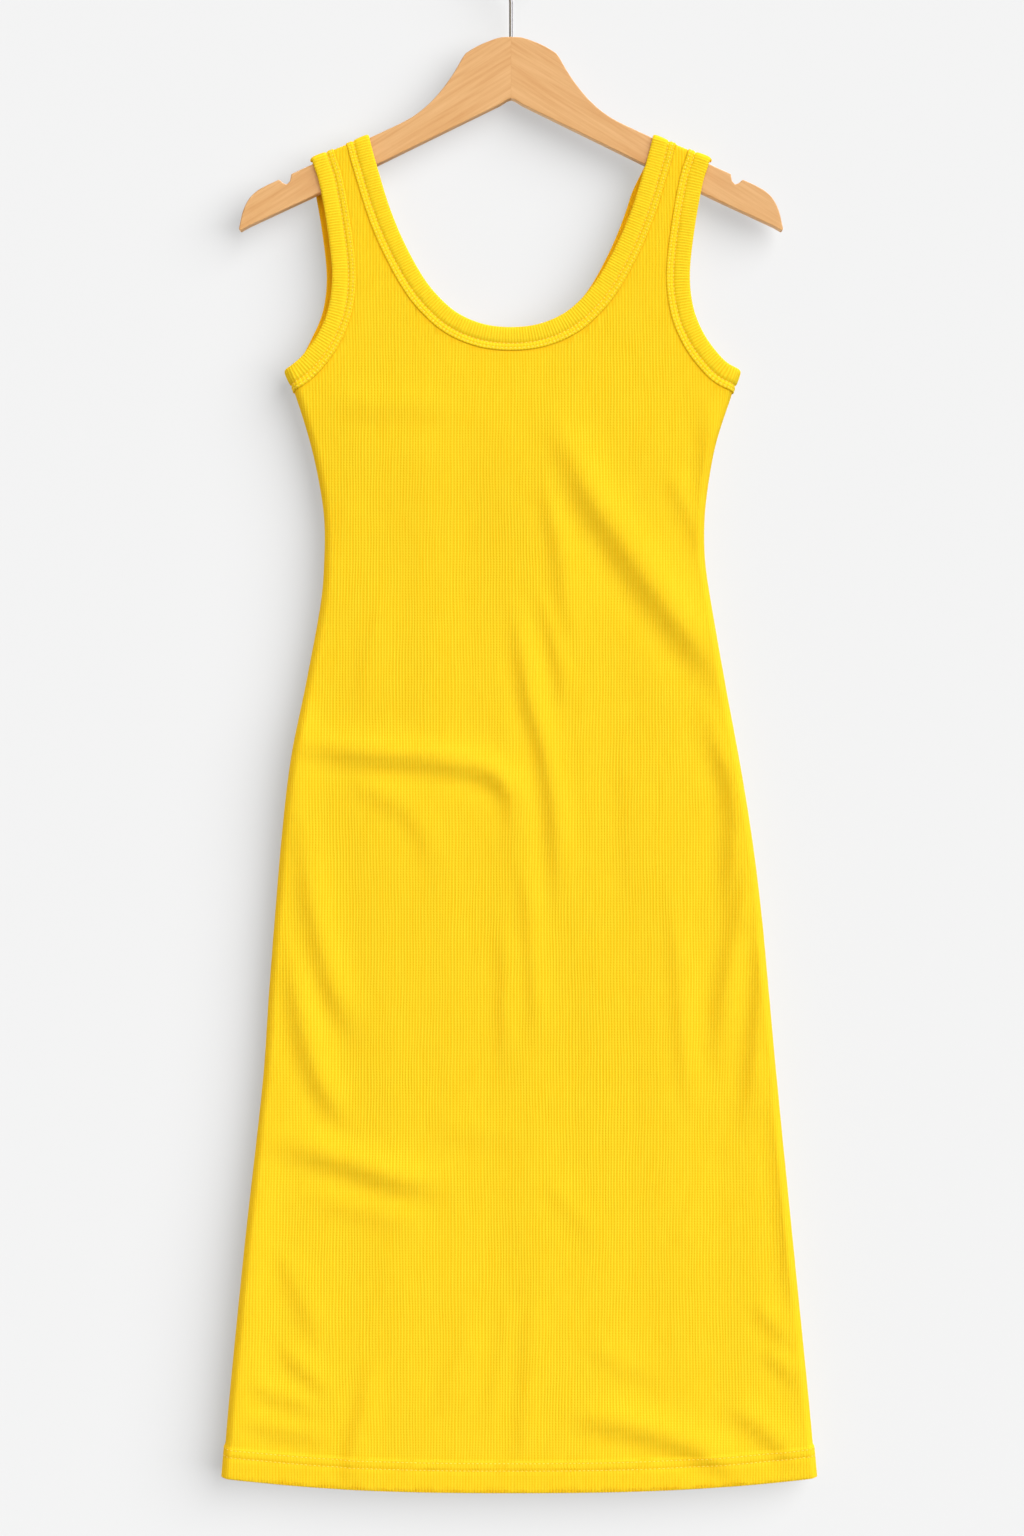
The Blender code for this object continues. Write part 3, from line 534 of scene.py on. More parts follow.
def groove_share(height, row):
    """1 in the middle of the groove that a row of the hem's stitches makes, and 0 away from it."""
    return np.exp(-((height - row) / STITCH_GROOVE_WIDTH) ** 2)


def hem_relief(across, down):
    """The hem's proud band, its two stitched grooves and its rounded lower edge."""
    height = hem_drop(across) - down
    relief = HEM_PROUD * hem_share(across, down)
    for row in HEM_STITCH_HEIGHTS:
        relief = relief - STITCH_GROOVE * groove_share(height, row)
    return relief - HEM_EDGE_SINK * np.clip(1 - height / HEM_EDGE_ROUND, 0.0, 1.0) ** 2


def side_reach(side, down):
    left, right = (read_table(SECTIONS, column, down) for column in ("left", "right"))
    return np.where(side > 0, right, left)


def fold_relief(folds, x, drop):
    """How far the creases push the cloth out at places on the panel."""
    total = np.zeros_like(x)
    for fold in folds:
        crest = curve_through(fold.path, FOLD_STEPS)
        margin = FOLD_REACH * fold.width
        low, high = crest.min(axis=0) - margin, crest.max(axis=0) + margin
        near = np.flatnonzero((x > low[0]) & (x < high[0]) & (drop > low[1]) & (drop < high[1]))
        if not near.size:
            continue
        nearest = np.full(near.size, np.inf)
        aside = np.zeros(near.size)
        along = np.zeros(near.size)
        for k, (start, step) in enumerate(zip(crest, np.diff(crest, axis=0))):
            rel_x, rel_drop = x[near] - start[0], drop[near] - start[1]
            t = np.clip((rel_x * step[0] + rel_drop * step[1]) / (step @ step), 0.0, 1.0)
            distance = np.hypot(rel_x - step[0] * t, rel_drop - step[1] * t)
            closer = distance < nearest
            nearest[closer] = distance[closer]
            aside[closer] = np.copysign(distance, step[0] * rel_drop - step[1] * rel_x)[closer]
            along[closer] = ((k + t) / (len(crest) - 1))[closer]
        aside /= fold.width
        fade = smoothstep(along / FOLD_FADE) * smoothstep((1 - along) / FOLD_FADE)
        flank = aside / np.where(aside > 0, STEEP_FLANK, SOFT_FLANK)
        total[near] += fade * (fold.height * np.exp(-flank**2)
                               - fold.sink * np.exp(-(aside - SINK_OFFSET) ** 2))
    return total


def drape_relief(face, x, down):
    """Low, wide unevenness of hanging cloth, different on the two faces."""
    lean = 0.06 * x + face * 11.0
    soft = (0.34 * np.sin(x / 17.0 + 0.7 * np.sin(down / 93.0 + face))
            + 0.24 * np.sin(x / 9.3 - down / 210.0 + 2.1 * face)
            + 0.26 * np.sin(down / 47.0 + lean / 9.0))
    top, bottom = DRAPE_IN, DRAPE_OUT
    return soft * smoothstep((down - top[0]) / top[1]) * smoothstep((bottom[0] - down) / bottom[1])


def panel_depth(face, x, down):
    """How far the panel's outside stands off the middle plane, creases and hem included."""
    base = read_table(DEPTHS, "front" if face == FRONT else "back", down)
    share = x / side_reach(np.sign(x), down)
    depth = HANG_DEPTH + (base - HANG_DEPTH) * (1 - CROWN_LOSS * share**2)
    folds = FRONT_FOLDS + FRONT_CREASES if face == FRONT else BACK_FOLDS + BACK_CREASES
    return depth + fold_relief(folds, x, down) + drape_relief(face, x, down) + hem_relief(x, down)


@functools.lru_cache(maxsize=None)
def side_arc_table(face, side):
    """Where a side's round starts, the depth there and the round's length, for rows of drops."""
    down = np.arange(UNDERARM_DROP - ARC_TABLE_MARGIN, HEM_CORNER_DROP + ARC_TABLE_MARGIN,
                     ARC_TABLE_STEP)
    signs = np.full(down.shape, float(side))
    proud = HEM_PROUD * hem_share(signs * SECTIONS[-1].right, down)
    start = side_reach(signs, down) + proud - SIDE_ROUND
    depth = panel_depth(face, signs * start, down)
    # Ramanujan's length of a quarter of an ellipse
    total = SIDE_ROUND + depth
    length = np.pi / 4 * (3 * total - np.sqrt((3 * SIDE_ROUND + depth) * (SIDE_ROUND + 3 * depth)))
    return down, start, depth, length


def side_arc(face, side, down):
    """Start, depth and length of the side's round; side holds 1 on the right and -1 on the left."""
    left, right = side_arc_table(face, -1), side_arc_table(face, 1)
    return [np.where(side > 0, np.interp(down, right[0], right[k]), np.interp(down, left[0], left[k]))
            for k in (1, 2, 3)]


def side_seam_across(face, side, down):
    """The cut coordinate of the side seam, where the rounds of front and back meet."""
    start, _, length = side_arc(face, side, down)
    return side * (start + length)


def shoulder_drop(x):
    """Drop of the shoulder's line, which slopes down with the wood."""
    return SHOULDER_DROP + (np.abs(x) - SHOULDER_REACH) * SHOULDER_SLOPE


def shoulder_seam_down(x):
    """The cut coordinate of the shoulder seam, which lies on top of the hanger."""
    wrap = SHOULDER_ROUND * math.pi / 2 + HANG_DEPTH - SHOULDER_ROUND
    return shoulder_drop(x) + SHOULDER_ROUND - wrap


def back_shift(down):
    """How far the back strays sideways between the straps and the underarms."""
    (top, fade_in), (bottom, fade_out) = BACK_SHIFT_IN, BACK_SHIFT_OUT
    shift = BACK_SHIFT * smoothstep((down - top) / fade_in)
    return shift * (1 - smoothstep((down - bottom) / fade_out))


def surface(face, places):
    """Fold places of the cut panel, rows of (across, down), onto the outside of the dress."""
    across, down = places[:, 0], places[:, 1]
    side = side_of(across)
    start, edge_depth, length = side_arc(face, side, down)
    turn = np.clip((np.abs(across) - start) / length, 0.0, None) * math.pi / 2
    flat_x = side * np.minimum(np.abs(across), start)
    depth = np.where(turn > 0, edge_depth * np.cos(turn), panel_depth(face, flat_x, down))
    x = flat_x + side * SIDE_ROUND * np.sin(turn)
    lead = np.clip(shoulder_drop(x) + SHOULDER_ROUND - down, 0.0, None)
    lean = np.minimum(lead / SHOULDER_ROUND, math.pi / 2)
    depth = depth - SHOULDER_ROUND * (1 - np.cos(lean))
    depth = depth - np.clip(lead - SHOULDER_ROUND * math.pi / 2, 0.0, None)
    drop = np.where(lead > 0, shoulder_drop(x) + SHOULDER_ROUND * (1 - np.sin(lean)), down)
    if face == BACK:
        x = x - back_shift(down)
    return np.column_stack([x, face * depth, -HOOK_RISE - drop])


def surface_normal(face, places):
    """The directions out of the cloth."""
    slopes = [surface(face, places + step) - surface(face, places - step)
              for step in ((SLOPE_STEP, 0), (0, SLOPE_STEP))]
    return unit(np.cross(*slopes)) * face


# The bindings' free edges, and what is measured from them

Edge = namedtuple("Edge", "face places inward seams")


def neck_knots(face):
    """Cut coordinates of the neck's free edge, from the left shoulder to the right."""
    deeper = BACK_NECK_DEEPER / (NECK_EDGE[-1].drop - SHOULDER_DROP) if face == BACK else 0.0
    right = [(NECK_SHOULDER_REACH, shoulder_seam_down(NECK_SHOULDER_REACH))]
    right += [(k.reach, k.drop + (k.drop - SHOULDER_DROP) * deeper) for k in NECK_EDGE]
    return [(-x, y) for x, y in right[:-1]] + right[::-1]


def armhole_knots(face, side):
    """Cut coordinates of an armhole's free edge, from the shoulder to the underarm."""
    knots = [(side * ARMHOLE_SHOULDER_REACH, shoulder_seam_down(ARMHOLE_SHOULDER_REACH))]
    knots += [(side * k.reach, k.drop) for k in ARMHOLE_EDGE]
    return [*knots, (float(side_seam_across(face, side, UNDERARM_DROP)), UNDERARM_DROP)]


def seam_direction(seam, face, place, inward):
    """Unit step along a seam that points the same way as the band is wide."""
    side = math.copysign(1, place[0])
    if seam == "shoulder":
        along = np.array((1.0, SHOULDER_SLOPE * side))
    else:
        lower = float(side_seam_across(face, side, place[1] + BAND_WIDTH))
        along = np.array((lower - place[0], BAND_WIDTH))
    return unit(along) * math.copysign(1, along @ inward)


def free_edge(face, knots, seams, turn, spacing, whole=1):
    """A free edge's places, each with the direction in which the band is wide.

    seams names the seam at each end, turn is 1 or -1 for the side the panel is on, and the
    number of steps is a multiple of whole.
    """
    curve = curve_through(knots)
    count = whole * round(polyline_length(curve) / spacing / whole)
    places = evenly(curve, count)
    tangent = np.gradient(places, axis=0)
    inward = unit(np.column_stack([-tangent[:, 1], tangent[:, 0]]) * turn)
    for end, seam in ((0, seams[0]), (-1, seams[1])):
        along = seam_direction(seam, face, places[end], inward[end])
        near = smoothstep(1 - np.linalg.norm(places - places[end], axis=1) / BAND_WIDTH)[:, None]
        inward = unit(inward * (1 - near) + along * near)
    return Edge(face, places, inward, seams)


def beside(edge, width, inset=0.0):
    """Cut coordinates at a distance from the free edge; the two ends stay on their seams."""
    places = edge.places + edge.inward * width
    for end, seam in ((0, edge.seams[0]), (-1, edge.seams[1])):
        if seam == "shoulder":
            places[end, 1] = shoulder_seam_down(places[end, 0]) + inset
        else:
            side = math.copysign(1, places[end, 0])
            places[end, 0] = side_seam_across(edge.face, side, places[end, 1]) - side * inset
    return places


def neck_edge(face, spacing, whole=1):
    return free_edge(face, neck_knots(face), ("shoulder", "shoulder"), 1, spacing, whole)


def armhole_edge(face, side, spacing, whole=1):
    return free_edge(face, armhole_knots(face, side), ("shoulder", "side"), side, spacing, whole)


# Panels

def rib_stray(run, down):
    """How far a rib strays sideways from the straight line on which it was knitted."""
    return sum(wave.size * np.sin(down / wave.down + run / wave.run + wave.phase)
               for wave in RIB_WAVES)


def knit_run(places):
    """Where across the knitting each place lies, the stray of its rib taken off."""
    run = places[:, 0].copy()
    for _ in range(STRAY_ROUNDS):
        run = places[:, 0] - rib_stray(run, places[:, 1])
    return run


def row_drops():
    """Drops of the cloth's rows at the sides, close together over the shoulder."""
    hem_top = HEM_CORNER_DROP - HEM_ROWS[0]
    strap = np.arange(*STRAP_ROWS, STRAP_ROW_STEP)
    count = round((hem_top - STRAP_ROWS[1]) / ROW_STEP)
    return np.concatenate([strap, np.linspace(STRAP_ROWS[1], hem_top, count, endpoint=False)])


def bend_rows(across, down):
    """Let the rows sag more and more towards the hem."""
    flare = smoothstep((down - UNDERARM_DROP) / (HEM_CORNER_DROP - HEM_ROWS[0] - UNDERARM_DROP))
    return down + (hem_drop(across) - HEM_CORNER_DROP) * flare


def panel_outline(face, column):
    """Cut outline of a panel: side, hem, side, armhole, strap, neck, strap and armhole."""
    width, half_gap = BAND_WIDTH + SEAM_GAP, SEAM_GAP / 2
    neck = beside(neck_edge(face, EDGE_SPACING), width, half_gap)
    right_arm = beside(armhole_edge(face, 1, EDGE_SPACING), width, half_gap)
    left_arm = beside(armhole_edge(face, -1, EDGE_SPACING), width, half_gap)
    hem_down = HEM_CORNER_DROP - np.array(HEM_ROWS[:-1])
    rows = np.concatenate([row_drops(), hem_down, [HEM_CORNER_DROP]])

    def side(sign, top):
        down = rows[rows > top + ROW_STEP / 2]
        return np.column_stack([side_seam_across(face, sign, down) - sign * half_gap, down])

    left, right = side(-1, left_arm[-1, 1]), side(1, right_arm[-1, 1])
    run = np.arange(math.ceil(left[-1, 0] / column) + 1, math.floor(right[-1, 0] / column)) * column
    across = run + rib_stray(run, hem_drop(run))
    hem = np.column_stack([across, hem_drop(across)])
    return np.vstack([left, hem, right[::-1], right_arm[::-1], neck[::-1], left_arm])


def clear_of(outline, places, clearance):
    """True for places inside a closed outline and at least clearance away from it."""
    crossings = np.zeros(len(places), int)
    nearest = np.full(len(places), np.inf)
    x, y = places.T
    for (ax, ay), (bx, by) in zip(outline, np.roll(outline, -1, axis=0)):
        spans = (ay > y) != (by > y)
        crossings[spans] += ax + (bx - ax) * (y[spans] - ay) / (by - ay) > x[spans]
        step_x, step_y = bx - ax, by - ay
        t = np.clip(((x - ax) * step_x + (y - ay) * step_y) / (step_x**2 + step_y**2), 0.0, 1.0)
        nearest = np.minimum(nearest, np.hypot(x - ax - step_x * t, y - ay - step_y * t))
    return (crossings % 2 == 1) & (nearest > clearance)


def keep_inside(face, outline, places, clearance):
    """Drop the places that lie outside the panel or too close to its edge."""
    down = places[:, 1]
    left = side_seam_across(face, -1, down) + clearance
    right = side_seam_across(face, 1, down) - clearance
    kept = (places[:, 0] > left) & (places[:, 0] < right)
    upper = down < TOP_ZONE
    edge = outline[outline[:, 1] < TOP_ZONE + 2 * ROW_STEP]
    kept[upper] = clear_of(edge, places[upper], clearance)
    return places[kept]


def fine_places(face, outline, column):
    """Columns of places that follow the ribs, in rows that sag with the hem."""
    ends = outline[:, 0].min(), outline[:, 0].max()
    run = np.arange(math.ceil(ends[0] / column), math.floor(ends[1] / column) + 1) * column
    rows = row_drops()
    run_grid, row_grid = (grid.ravel() for grid in np.meshgrid(run, rows))
    across = run_grid + rib_stray(run_grid, row_grid)
    body = np.column_stack([across, bend_rows(across, row_grid)])
    run_grid, height_grid = (grid.ravel() for grid in np.meshgrid(run, np.array(HEM_ROWS)))
    across = run_grid + rib_stray(run_grid, HEM_CORNER_DROP - height_grid)
    hem = np.column_stack([across, hem_drop(across) - height_grid])
    return keep_inside(face, outline, np.vstack([body, hem]), EDGE_CLEARANCE)


def coarse_places(face, outline):
    """Places for the plain inside of the cloth."""
    across = np.arange(outline[:, 0].min(), outline[:, 0].max(), INSIDE_SPACING)
    down = np.arange(STRAP_ROWS[0], HEM_CORNER_DROP - INSIDE_CLEARANCE, INSIDE_SPACING)
    across_grid, down_grid = (grid.ravel() for grid in np.meshgrid(across, down))
    places = np.column_stack([across_grid, bend_rows(across_grid, down_grid)])
    return keep_inside(face, outline, places, INSIDE_CLEARANCE)


def triangulate(outline, places, row_squeeze):
    """Triangles over the outline's places followed by the inner ones."""
    run = knit_run(np.vstack([outline, places]))
    down = np.concatenate([outline[:, 1], places[:, 1]]) * row_squeeze
    flat = [Vector(pair) for pair in zip(run.tolist(), down.tolist())]
    border = [(k, (k + 1) % len(outline)) for k in range(len(outline))]
    found, _, triangles, _, _, _ = delaunay_2d_cdt(flat, border, [], 1, 1e-6)
    if len(found) != len(flat):
        raise RuntimeError("the panel's outline crosses itself")
    return np.array(triangles)


def wall_at(places):
    """Thickness of the cloth, doubled on the hem and thinner at its rounded edge."""
    height = hem_drop(places[:, 0]) - places[:, 1]
    wall = WALL + (HEM_WALL - WALL) * hem_share(places[:, 0], places[:, 1])
    return wall * (1 - HEM_EDGE_THINNER * np.clip(1 - height / HEM_EDGE_ROUND, 0.0, 1.0) ** 2)


def rib_strength(face, places, outline_count):
    """How strongly the ribs stand out: faint at seams and stitches, uneven from rib to rib."""
    seam = side_seam_across(face, side_of(places[:, 0]), places[:, 1])
    to_seam = np.abs(seam) - np.abs(places[:, 0])
    height = hem_drop(places[:, 0]) - places[:, 1]
    strength = smoothstep(to_seam / RIB_FADE)
    for row in HEM_STITCH_HEIGHTS:
        strength = strength * (1 - GROOVE_FLATTENS * groove_share(height, row))
    uneven = (np.sin(places[:, 0] / 1.7) * np.sin(places[:, 0] / 5.3 + places[:, 1] / 37.0)
              + 0.6 * np.sin(places[:, 0] / 29.0 + np.sin(places[:, 1] / 51.0)))
    strength = strength * (1 + RIB_UNEVENNESS * uneven)
    strength[:outline_count][height[:outline_count] > HEM_CUT_HEIGHT] = 0.0
    return strength


def painted_shade_share(places, outline_count):
    """How much painted shade, a deeper amber colour, the outside takes in a seam or a stitched groove.
    """
    height = hem_drop(places[:, 0]) - places[:, 1]
    share = np.zeros(len(places))
    for row in HEM_STITCH_HEIGHTS:
        share = share + GROOVE_PAINTED_SHADE * groove_share(height, row)
    share[:outline_count][height[:outline_count] > HEM_CUT_HEIGHT] = EDGE_PAINTED_SHADE
    return share


def make_panel(name, face, rib_pitch):
    """A closed shell: ribbed outside, plain inside and the cut edge between them."""
    column = rib_pitch / COLUMNS_PER_RIB
    outline = panel_outline(face, column)
    fine = fine_places(face, outline, column)
    coarse = coarse_places(face, outline)
    outer_faces = triangulate(outline, fine, column / ROW_STEP)
    inner_faces = triangulate(outline, coarse, 1.0)
    outer, inner = np.vstack([outline, fine]), np.vstack([outline, coarse])
    inner_normal = surface_normal(face, inner)
    outer_points = surface(face, outer)
    inner_points = surface(face, inner) - inner_normal * wall_at(inner)[:, None]

    count, first_inner = len(outline), len(outer)
    k = np.arange(count)
    following = (k + 1) % count
    rim = np.vstack([np.column_stack([k, following, following + first_inner]),
                     np.column_stack([k, following + first_inner, k + first_inner])])
    # A triangle that runs counterclockwise on the cut, whose "down" axis points down, faces +Y
    turn = slice(None) if face == BACK else slice(None, None, -1)
    faces = np.vstack([outer_faces[:, turn], inner_faces[:, ::-1][:, turn] + first_inner,
                       rim[:, ::-1][:, turn]])
    points = np.vstack([outer_points, inner_points])
    places = np.vstack([outer, inner])
    strength = np.concatenate([rib_strength(face, outer, count), np.zeros(len(inner))])
    # Painted shade: a deeper amber colour in seams, stitched grooves and over the whole inside
    tucked = np.concatenate([painted_shade_share(outer, count), np.full(len(inner), INSIDE_PAINTED_SHADE)])
    outward = np.vstack([surface_normal(face, outer), inner_normal])
    facts = {"rib": knit_run(places) / rib_pitch, "course": places[:, 1], "strength": strength,
             "tucked": tucked, "outward": outward}
    return mesh_object(name, points, faces, facts)


def mesh_object(name, points, faces, facts, sharp_angle=PANEL_SHARP):
    """A mesh object from arrays in millimetres, with its named facts as point attributes."""
    mesh = bpy.data.meshes.new(name)
    mesh.from_pydata((points * MM).tolist(), [], faces.tolist())
    mesh.shade_smooth()
    mesh.set_sharp_from_angle(angle=math.radians(sharp_angle))
    for label, values in facts.items():
        if values.ndim == 2:
            layer = mesh.attributes.new(label, "FLOAT_VECTOR", "POINT")
            layer.data.foreach_set("vector", values.astype(np.float32).ravel())
        else:
            layer = mesh.attributes.new(label, "FLOAT", "POINT")
            layer.data.foreach_set("value", values.astype(np.float32))
    return link_object(name, mesh)


def link_object(name, data):
    thing = bpy.data.objects.new(name, data)
    bpy.context.scene.collection.objects.link(thing)
    return thing


# Bindings

def band_rings(edge):
    """Points and outward directions of the band's section along a free edge."""
    rings = [raised_line(edge, point.width, point.height) for point in BAND_SECTION]
    return [np.stack(columns, axis=1) for columns in zip(*rings)]


def raised_line(edge, width, height):
    """Points at a width from the free edge and a height over the cloth, and the way out there."""
    places = beside(edge, width)
    outward = surface_normal(edge.face, places)
    return surface(edge.face, places) + outward * height, outward


def closed_run(front, back):
    """Join arrays along the front and the back, whose ends are the same seams, into one ring."""
    return np.concatenate([front, back[-2:0:-1]])


def make_band(name, front_edge, back_edge):
    """One closed band: along the front, then back along the back panel."""
    points, outward = map(closed_run, band_rings(front_edge), band_rings(back_edge))
    rings, sides = points.shape[:2]
    ring, side = np.divmod(np.arange(rings * sides), sides)
    next_ring, next_side = (ring + 1) % rings, (side + 1) % sides
    faces = np.column_stack([ring * sides + side, ring * sides + next_side,
                             next_ring * sides + next_side, next_ring * sides + side])
    if facing_in(points, outward, faces):
        faces = faces[:, ::-1]
    # The section's last column is painted shade, a deeper amber colour in grooves, seams and inside
    widths, _, ribs, tucked = (np.tile(column, rings) for column in np.transpose(BAND_SECTION))
    facts = {"rib": np.repeat(np.arange(rings) / COLUMNS_PER_RIB, sides), "course": widths,
             "strength": ribs, "tucked": tucked, "outward": section_directions(points).reshape(-1, 3)}
    return mesh_object(name, points.reshape(-1, 3), faces, facts, BAND_SHARP)


def section_directions(points):
    """Directions out of each ring's section, away from the ring's middle line."""
    ahead = unit(np.roll(points, -1, axis=0) - np.roll(points, 1, axis=0))
    round_ring = np.roll(points, -1, axis=1) - np.roll(points, 1, axis=1)
    out = unit(np.cross(ahead, round_ring))
    from_middle = points - points.mean(axis=1, keepdims=True)
    turned = np.sign((out * from_middle).sum(axis=(1, 2)))
    return out * turned[:, None, None]


def facing_in(points, outward, faces):
    """True if the faces of the band's flat top point into the cloth."""
    flat = points.reshape(-1, 3)
    corner, second, third, _ = flat[faces[BAND_TOP]]
    return np.cross(second - corner, third - corner) @ outward[0, BAND_TOP] < 0


# Geometry Nodes and shader nodes

def add_node(tree, kind, inputs=None, **settings):
    """A node with its settings, and its inputs linked or set by name or number."""
    made = tree.nodes.new(kind)
    for name, value in settings.items():
        setattr(made, name, value)
    for socket, value in (inputs or {}).items():
        feed(tree, value, made.inputs[socket])
    return made


def feed(tree, value, socket):
    """Link another node's socket, or set a plain value."""
    if isinstance(value, bpy.types.NodeSocket):
        tree.links.new(value, socket)
    else:
        socket.default_value = value


def maths(tree, operation, *values):
    """What a Math node gives for linked or plain values."""
    return add_node(tree, "ShaderNodeMath", dict(enumerate(values)), operation=operation).outputs[0]


def around_half(tree, value, share):
    """How far a noise is off its middle, times a share."""
    return maths(tree, "MULTIPLY", maths(tree, "SUBTRACT", value, 0.5), share)


def blend_colours(tree, factor, first, second):
    """The first colour where the factor is 0 and the second where it is 1."""
    made = add_node(tree, "ShaderNodeMix", data_type="RGBA")
    for socket, value in (("Factor", factor), (6, first), (7, second)):
        feed(tree, value, made.inputs[socket])
    return made.outputs[2]


def geometry_tree(name, inputs):
    """A Geometry Nodes tree with a geometry socket each way and the named inputs."""
    tree = bpy.data.node_groups.new(name, "GeometryNodeTree")
    tree.interface.new_socket("Geometry", in_out="INPUT", socket_type="NodeSocketGeometry")
    tree.interface.new_socket("Geometry", in_out="OUTPUT", socket_type="NodeSocketGeometry")
    for label, socket_type in inputs:
        tree.interface.new_socket(label, in_out="INPUT", socket_type=socket_type)
    start = add_node(tree, "NodeGroupInput")
    end = add_node(tree, "NodeGroupOutput")
    return tree, start, end


def end_tree(tree, geometry, start, end):
    """Realize what was instanced, give it its material and put it out."""
    realize = add_node(tree, "GeometryNodeRealizeInstances", {"Geometry": geometry})
    material = add_node(tree, "GeometryNodeSetMaterial", {
        "Geometry": realize.outputs["Geometry"], "Material": start.outputs["Material"]})
    feed(tree, material.outputs["Geometry"], end.inputs["Geometry"])


def named_attribute(tree, label, data_type="FLOAT"):
    made = add_node(tree, "GeometryNodeInputNamedAttribute", {"Name": label}, data_type=data_type)
    return made.outputs["Attribute"]


@functools.lru_cache(maxsize=None)
def rib_tree():
    """Raises ribs: a sharp valley at each whole number of the rib attribute, a round top between."""
    tree, start, end = geometry_tree("Raised ribs", (("Height", "NodeSocketFloat"),
                                                     ("Material", "NodeSocketMaterial")))
    turn = maths(tree, "MULTIPLY", named_attribute(tree, "rib"), 2 * math.pi)
    profile = maths(tree, "MULTIPLY", maths(tree, "COSINE", turn), -1.0)
    strength = maths(tree, "MULTIPLY", profile, named_attribute(tree, "strength"))
    offset = add_node(tree, "ShaderNodeVectorMath", {
        0: named_attribute(tree, "outward", "FLOAT_VECTOR"),
        "Scale": maths(tree, "MULTIPLY", strength, start.outputs["Height"])}, operation="SCALE")
    place = add_node(tree, "GeometryNodeSetPosition", {
        "Geometry": start.outputs["Geometry"], "Offset": offset.outputs[0]})
    end_tree(tree, place.outputs["Geometry"], start, end)
    return tree


@functools.lru_cache(maxsize=None)
def stitch_tree():
    """Lays a stitch of thread on each point, along its run and flat on its outward side."""
    tree, start, end = geometry_tree("Stitches", (
        ("Length", "NodeSocketFloat"), ("Width", "NodeSocketFloat"), ("Unevenness", "NodeSocketFloat"),
        ("Seed", "NodeSocketInt"), ("Material", "NodeSocketMaterial")))
    bead = add_node(tree, "GeometryNodeMeshUVSphere", {"Segments": 6, "Rings": 3, "Radius": 0.5})
    width, unevenness = start.outputs["Width"], start.outputs["Unevenness"]
    size = add_node(tree, "ShaderNodeCombineXYZ", {
        "X": start.outputs["Length"], "Y": width, "Z": maths(tree, "MULTIPLY", width, THREAD_FLATNESS)})
    shape = add_node(tree, "GeometryNodeTransform", {
        "Geometry": bead.outputs["Mesh"], "Scale": size.outputs["Vector"]})
    smooth = add_node(tree, "GeometryNodeSetShadeSmooth", {"Geometry": shape.outputs["Geometry"]})
    along = add_node(tree, "FunctionNodeAlignRotationToVector", {
        "Vector": named_attribute(tree, "run", "FLOAT_VECTOR")}, axis="X")
    flat = add_node(tree, "FunctionNodeAlignRotationToVector", {
        "Rotation": along.outputs["Rotation"],
        "Vector": named_attribute(tree, "outward", "FLOAT_VECTOR")}, axis="Z", pivot_axis="X")
    spread = add_node(tree, "FunctionNodeRandomValue", {
        2: maths(tree, "SUBTRACT", 1.0, unevenness), 3: maths(tree, "ADD", 1.0, unevenness),
        "Seed": start.outputs["Seed"]}, data_type="FLOAT")
    lay = add_node(tree, "GeometryNodeInstanceOnPoints", {
        "Points": start.outputs["Geometry"], "Instance": smooth.outputs["Geometry"],
        "Rotation": flat.outputs["Rotation"], "Scale": spread.outputs[1]})
    end_tree(tree, lay.outputs["Instances"], start, end)
    return tree


def grow(thing, tree, values):
    """Run a tree over an object and keep what it gives as the object's plain mesh."""
    modifier = thing.modifiers.new(tree.name, "NODES")
    modifier.node_group = tree
    for item in tree.interface.items_tree:
        if item.in_out == "INPUT" and item.name in values:
            modifier[item.identifier] = values[item.name]
    bake(thing)


def bake(thing):
    """Turn an object with its modifiers into a plain mesh."""
    depsgraph = bpy.context.evaluated_depsgraph_get()
    mesh = bpy.data.meshes.new_from_object(
        thing.evaluated_get(depsgraph), preserve_all_data_layers=True, depsgraph=depsgraph)
    thing.modifiers.clear()
    thing.data = mesh


def shader_group(name, colours, numbers=()):
    """A shader node group with the named inputs, which gives a colour, a roughness and a height."""
    tree = bpy.data.node_groups.new(name, "ShaderNodeTree")
    for label in colours:
        tree.interface.new_socket(label, in_out="INPUT", socket_type="NodeSocketColor")
    for label in numbers:
        tree.interface.new_socket(label, in_out="INPUT", socket_type="NodeSocketFloat")
    for label, kind in (("Color", "Color"), ("Roughness", "Float"), ("Height", "Float")):
        tree.interface.new_socket(label, in_out="OUTPUT", socket_type=f"NodeSocket{kind}")
    return tree, add_node(tree, "NodeGroupInput"), add_node(tree, "NodeGroupOutput")


def object_place(tree):
    return add_node(tree, "ShaderNodeTexCoord").outputs["Object"]


def shader_attribute(tree, label):
    return add_node(tree, "ShaderNodeAttribute", attribute_name=label).outputs["Fac"]


def noise(tree, vector, scale, detail=2.0, roughness=0.5):
    """Noise between 0 and 1, with scale features to a metre."""
    made = add_node(tree, "ShaderNodeTexNoise", {
        "Vector": vector, "Scale": scale, "Detail": detail, "Roughness": roughness})
    return made.outputs["Fac"]


def stretch(tree, vector, scale, rotation=(0, 0, 0)):
    """The vector scaled and turned; a scale under 1 draws noise out along that axis."""
    made = add_node(tree, "ShaderNodeMapping", {
        "Vector": vector, "Scale": scale, "Rotation": rotation})
    return made.outputs["Vector"]


def between_0_and_1(tree, value):
    return maths(tree, "MINIMUM", maths(tree, "MAXIMUM", value, 0.0), 1.0)


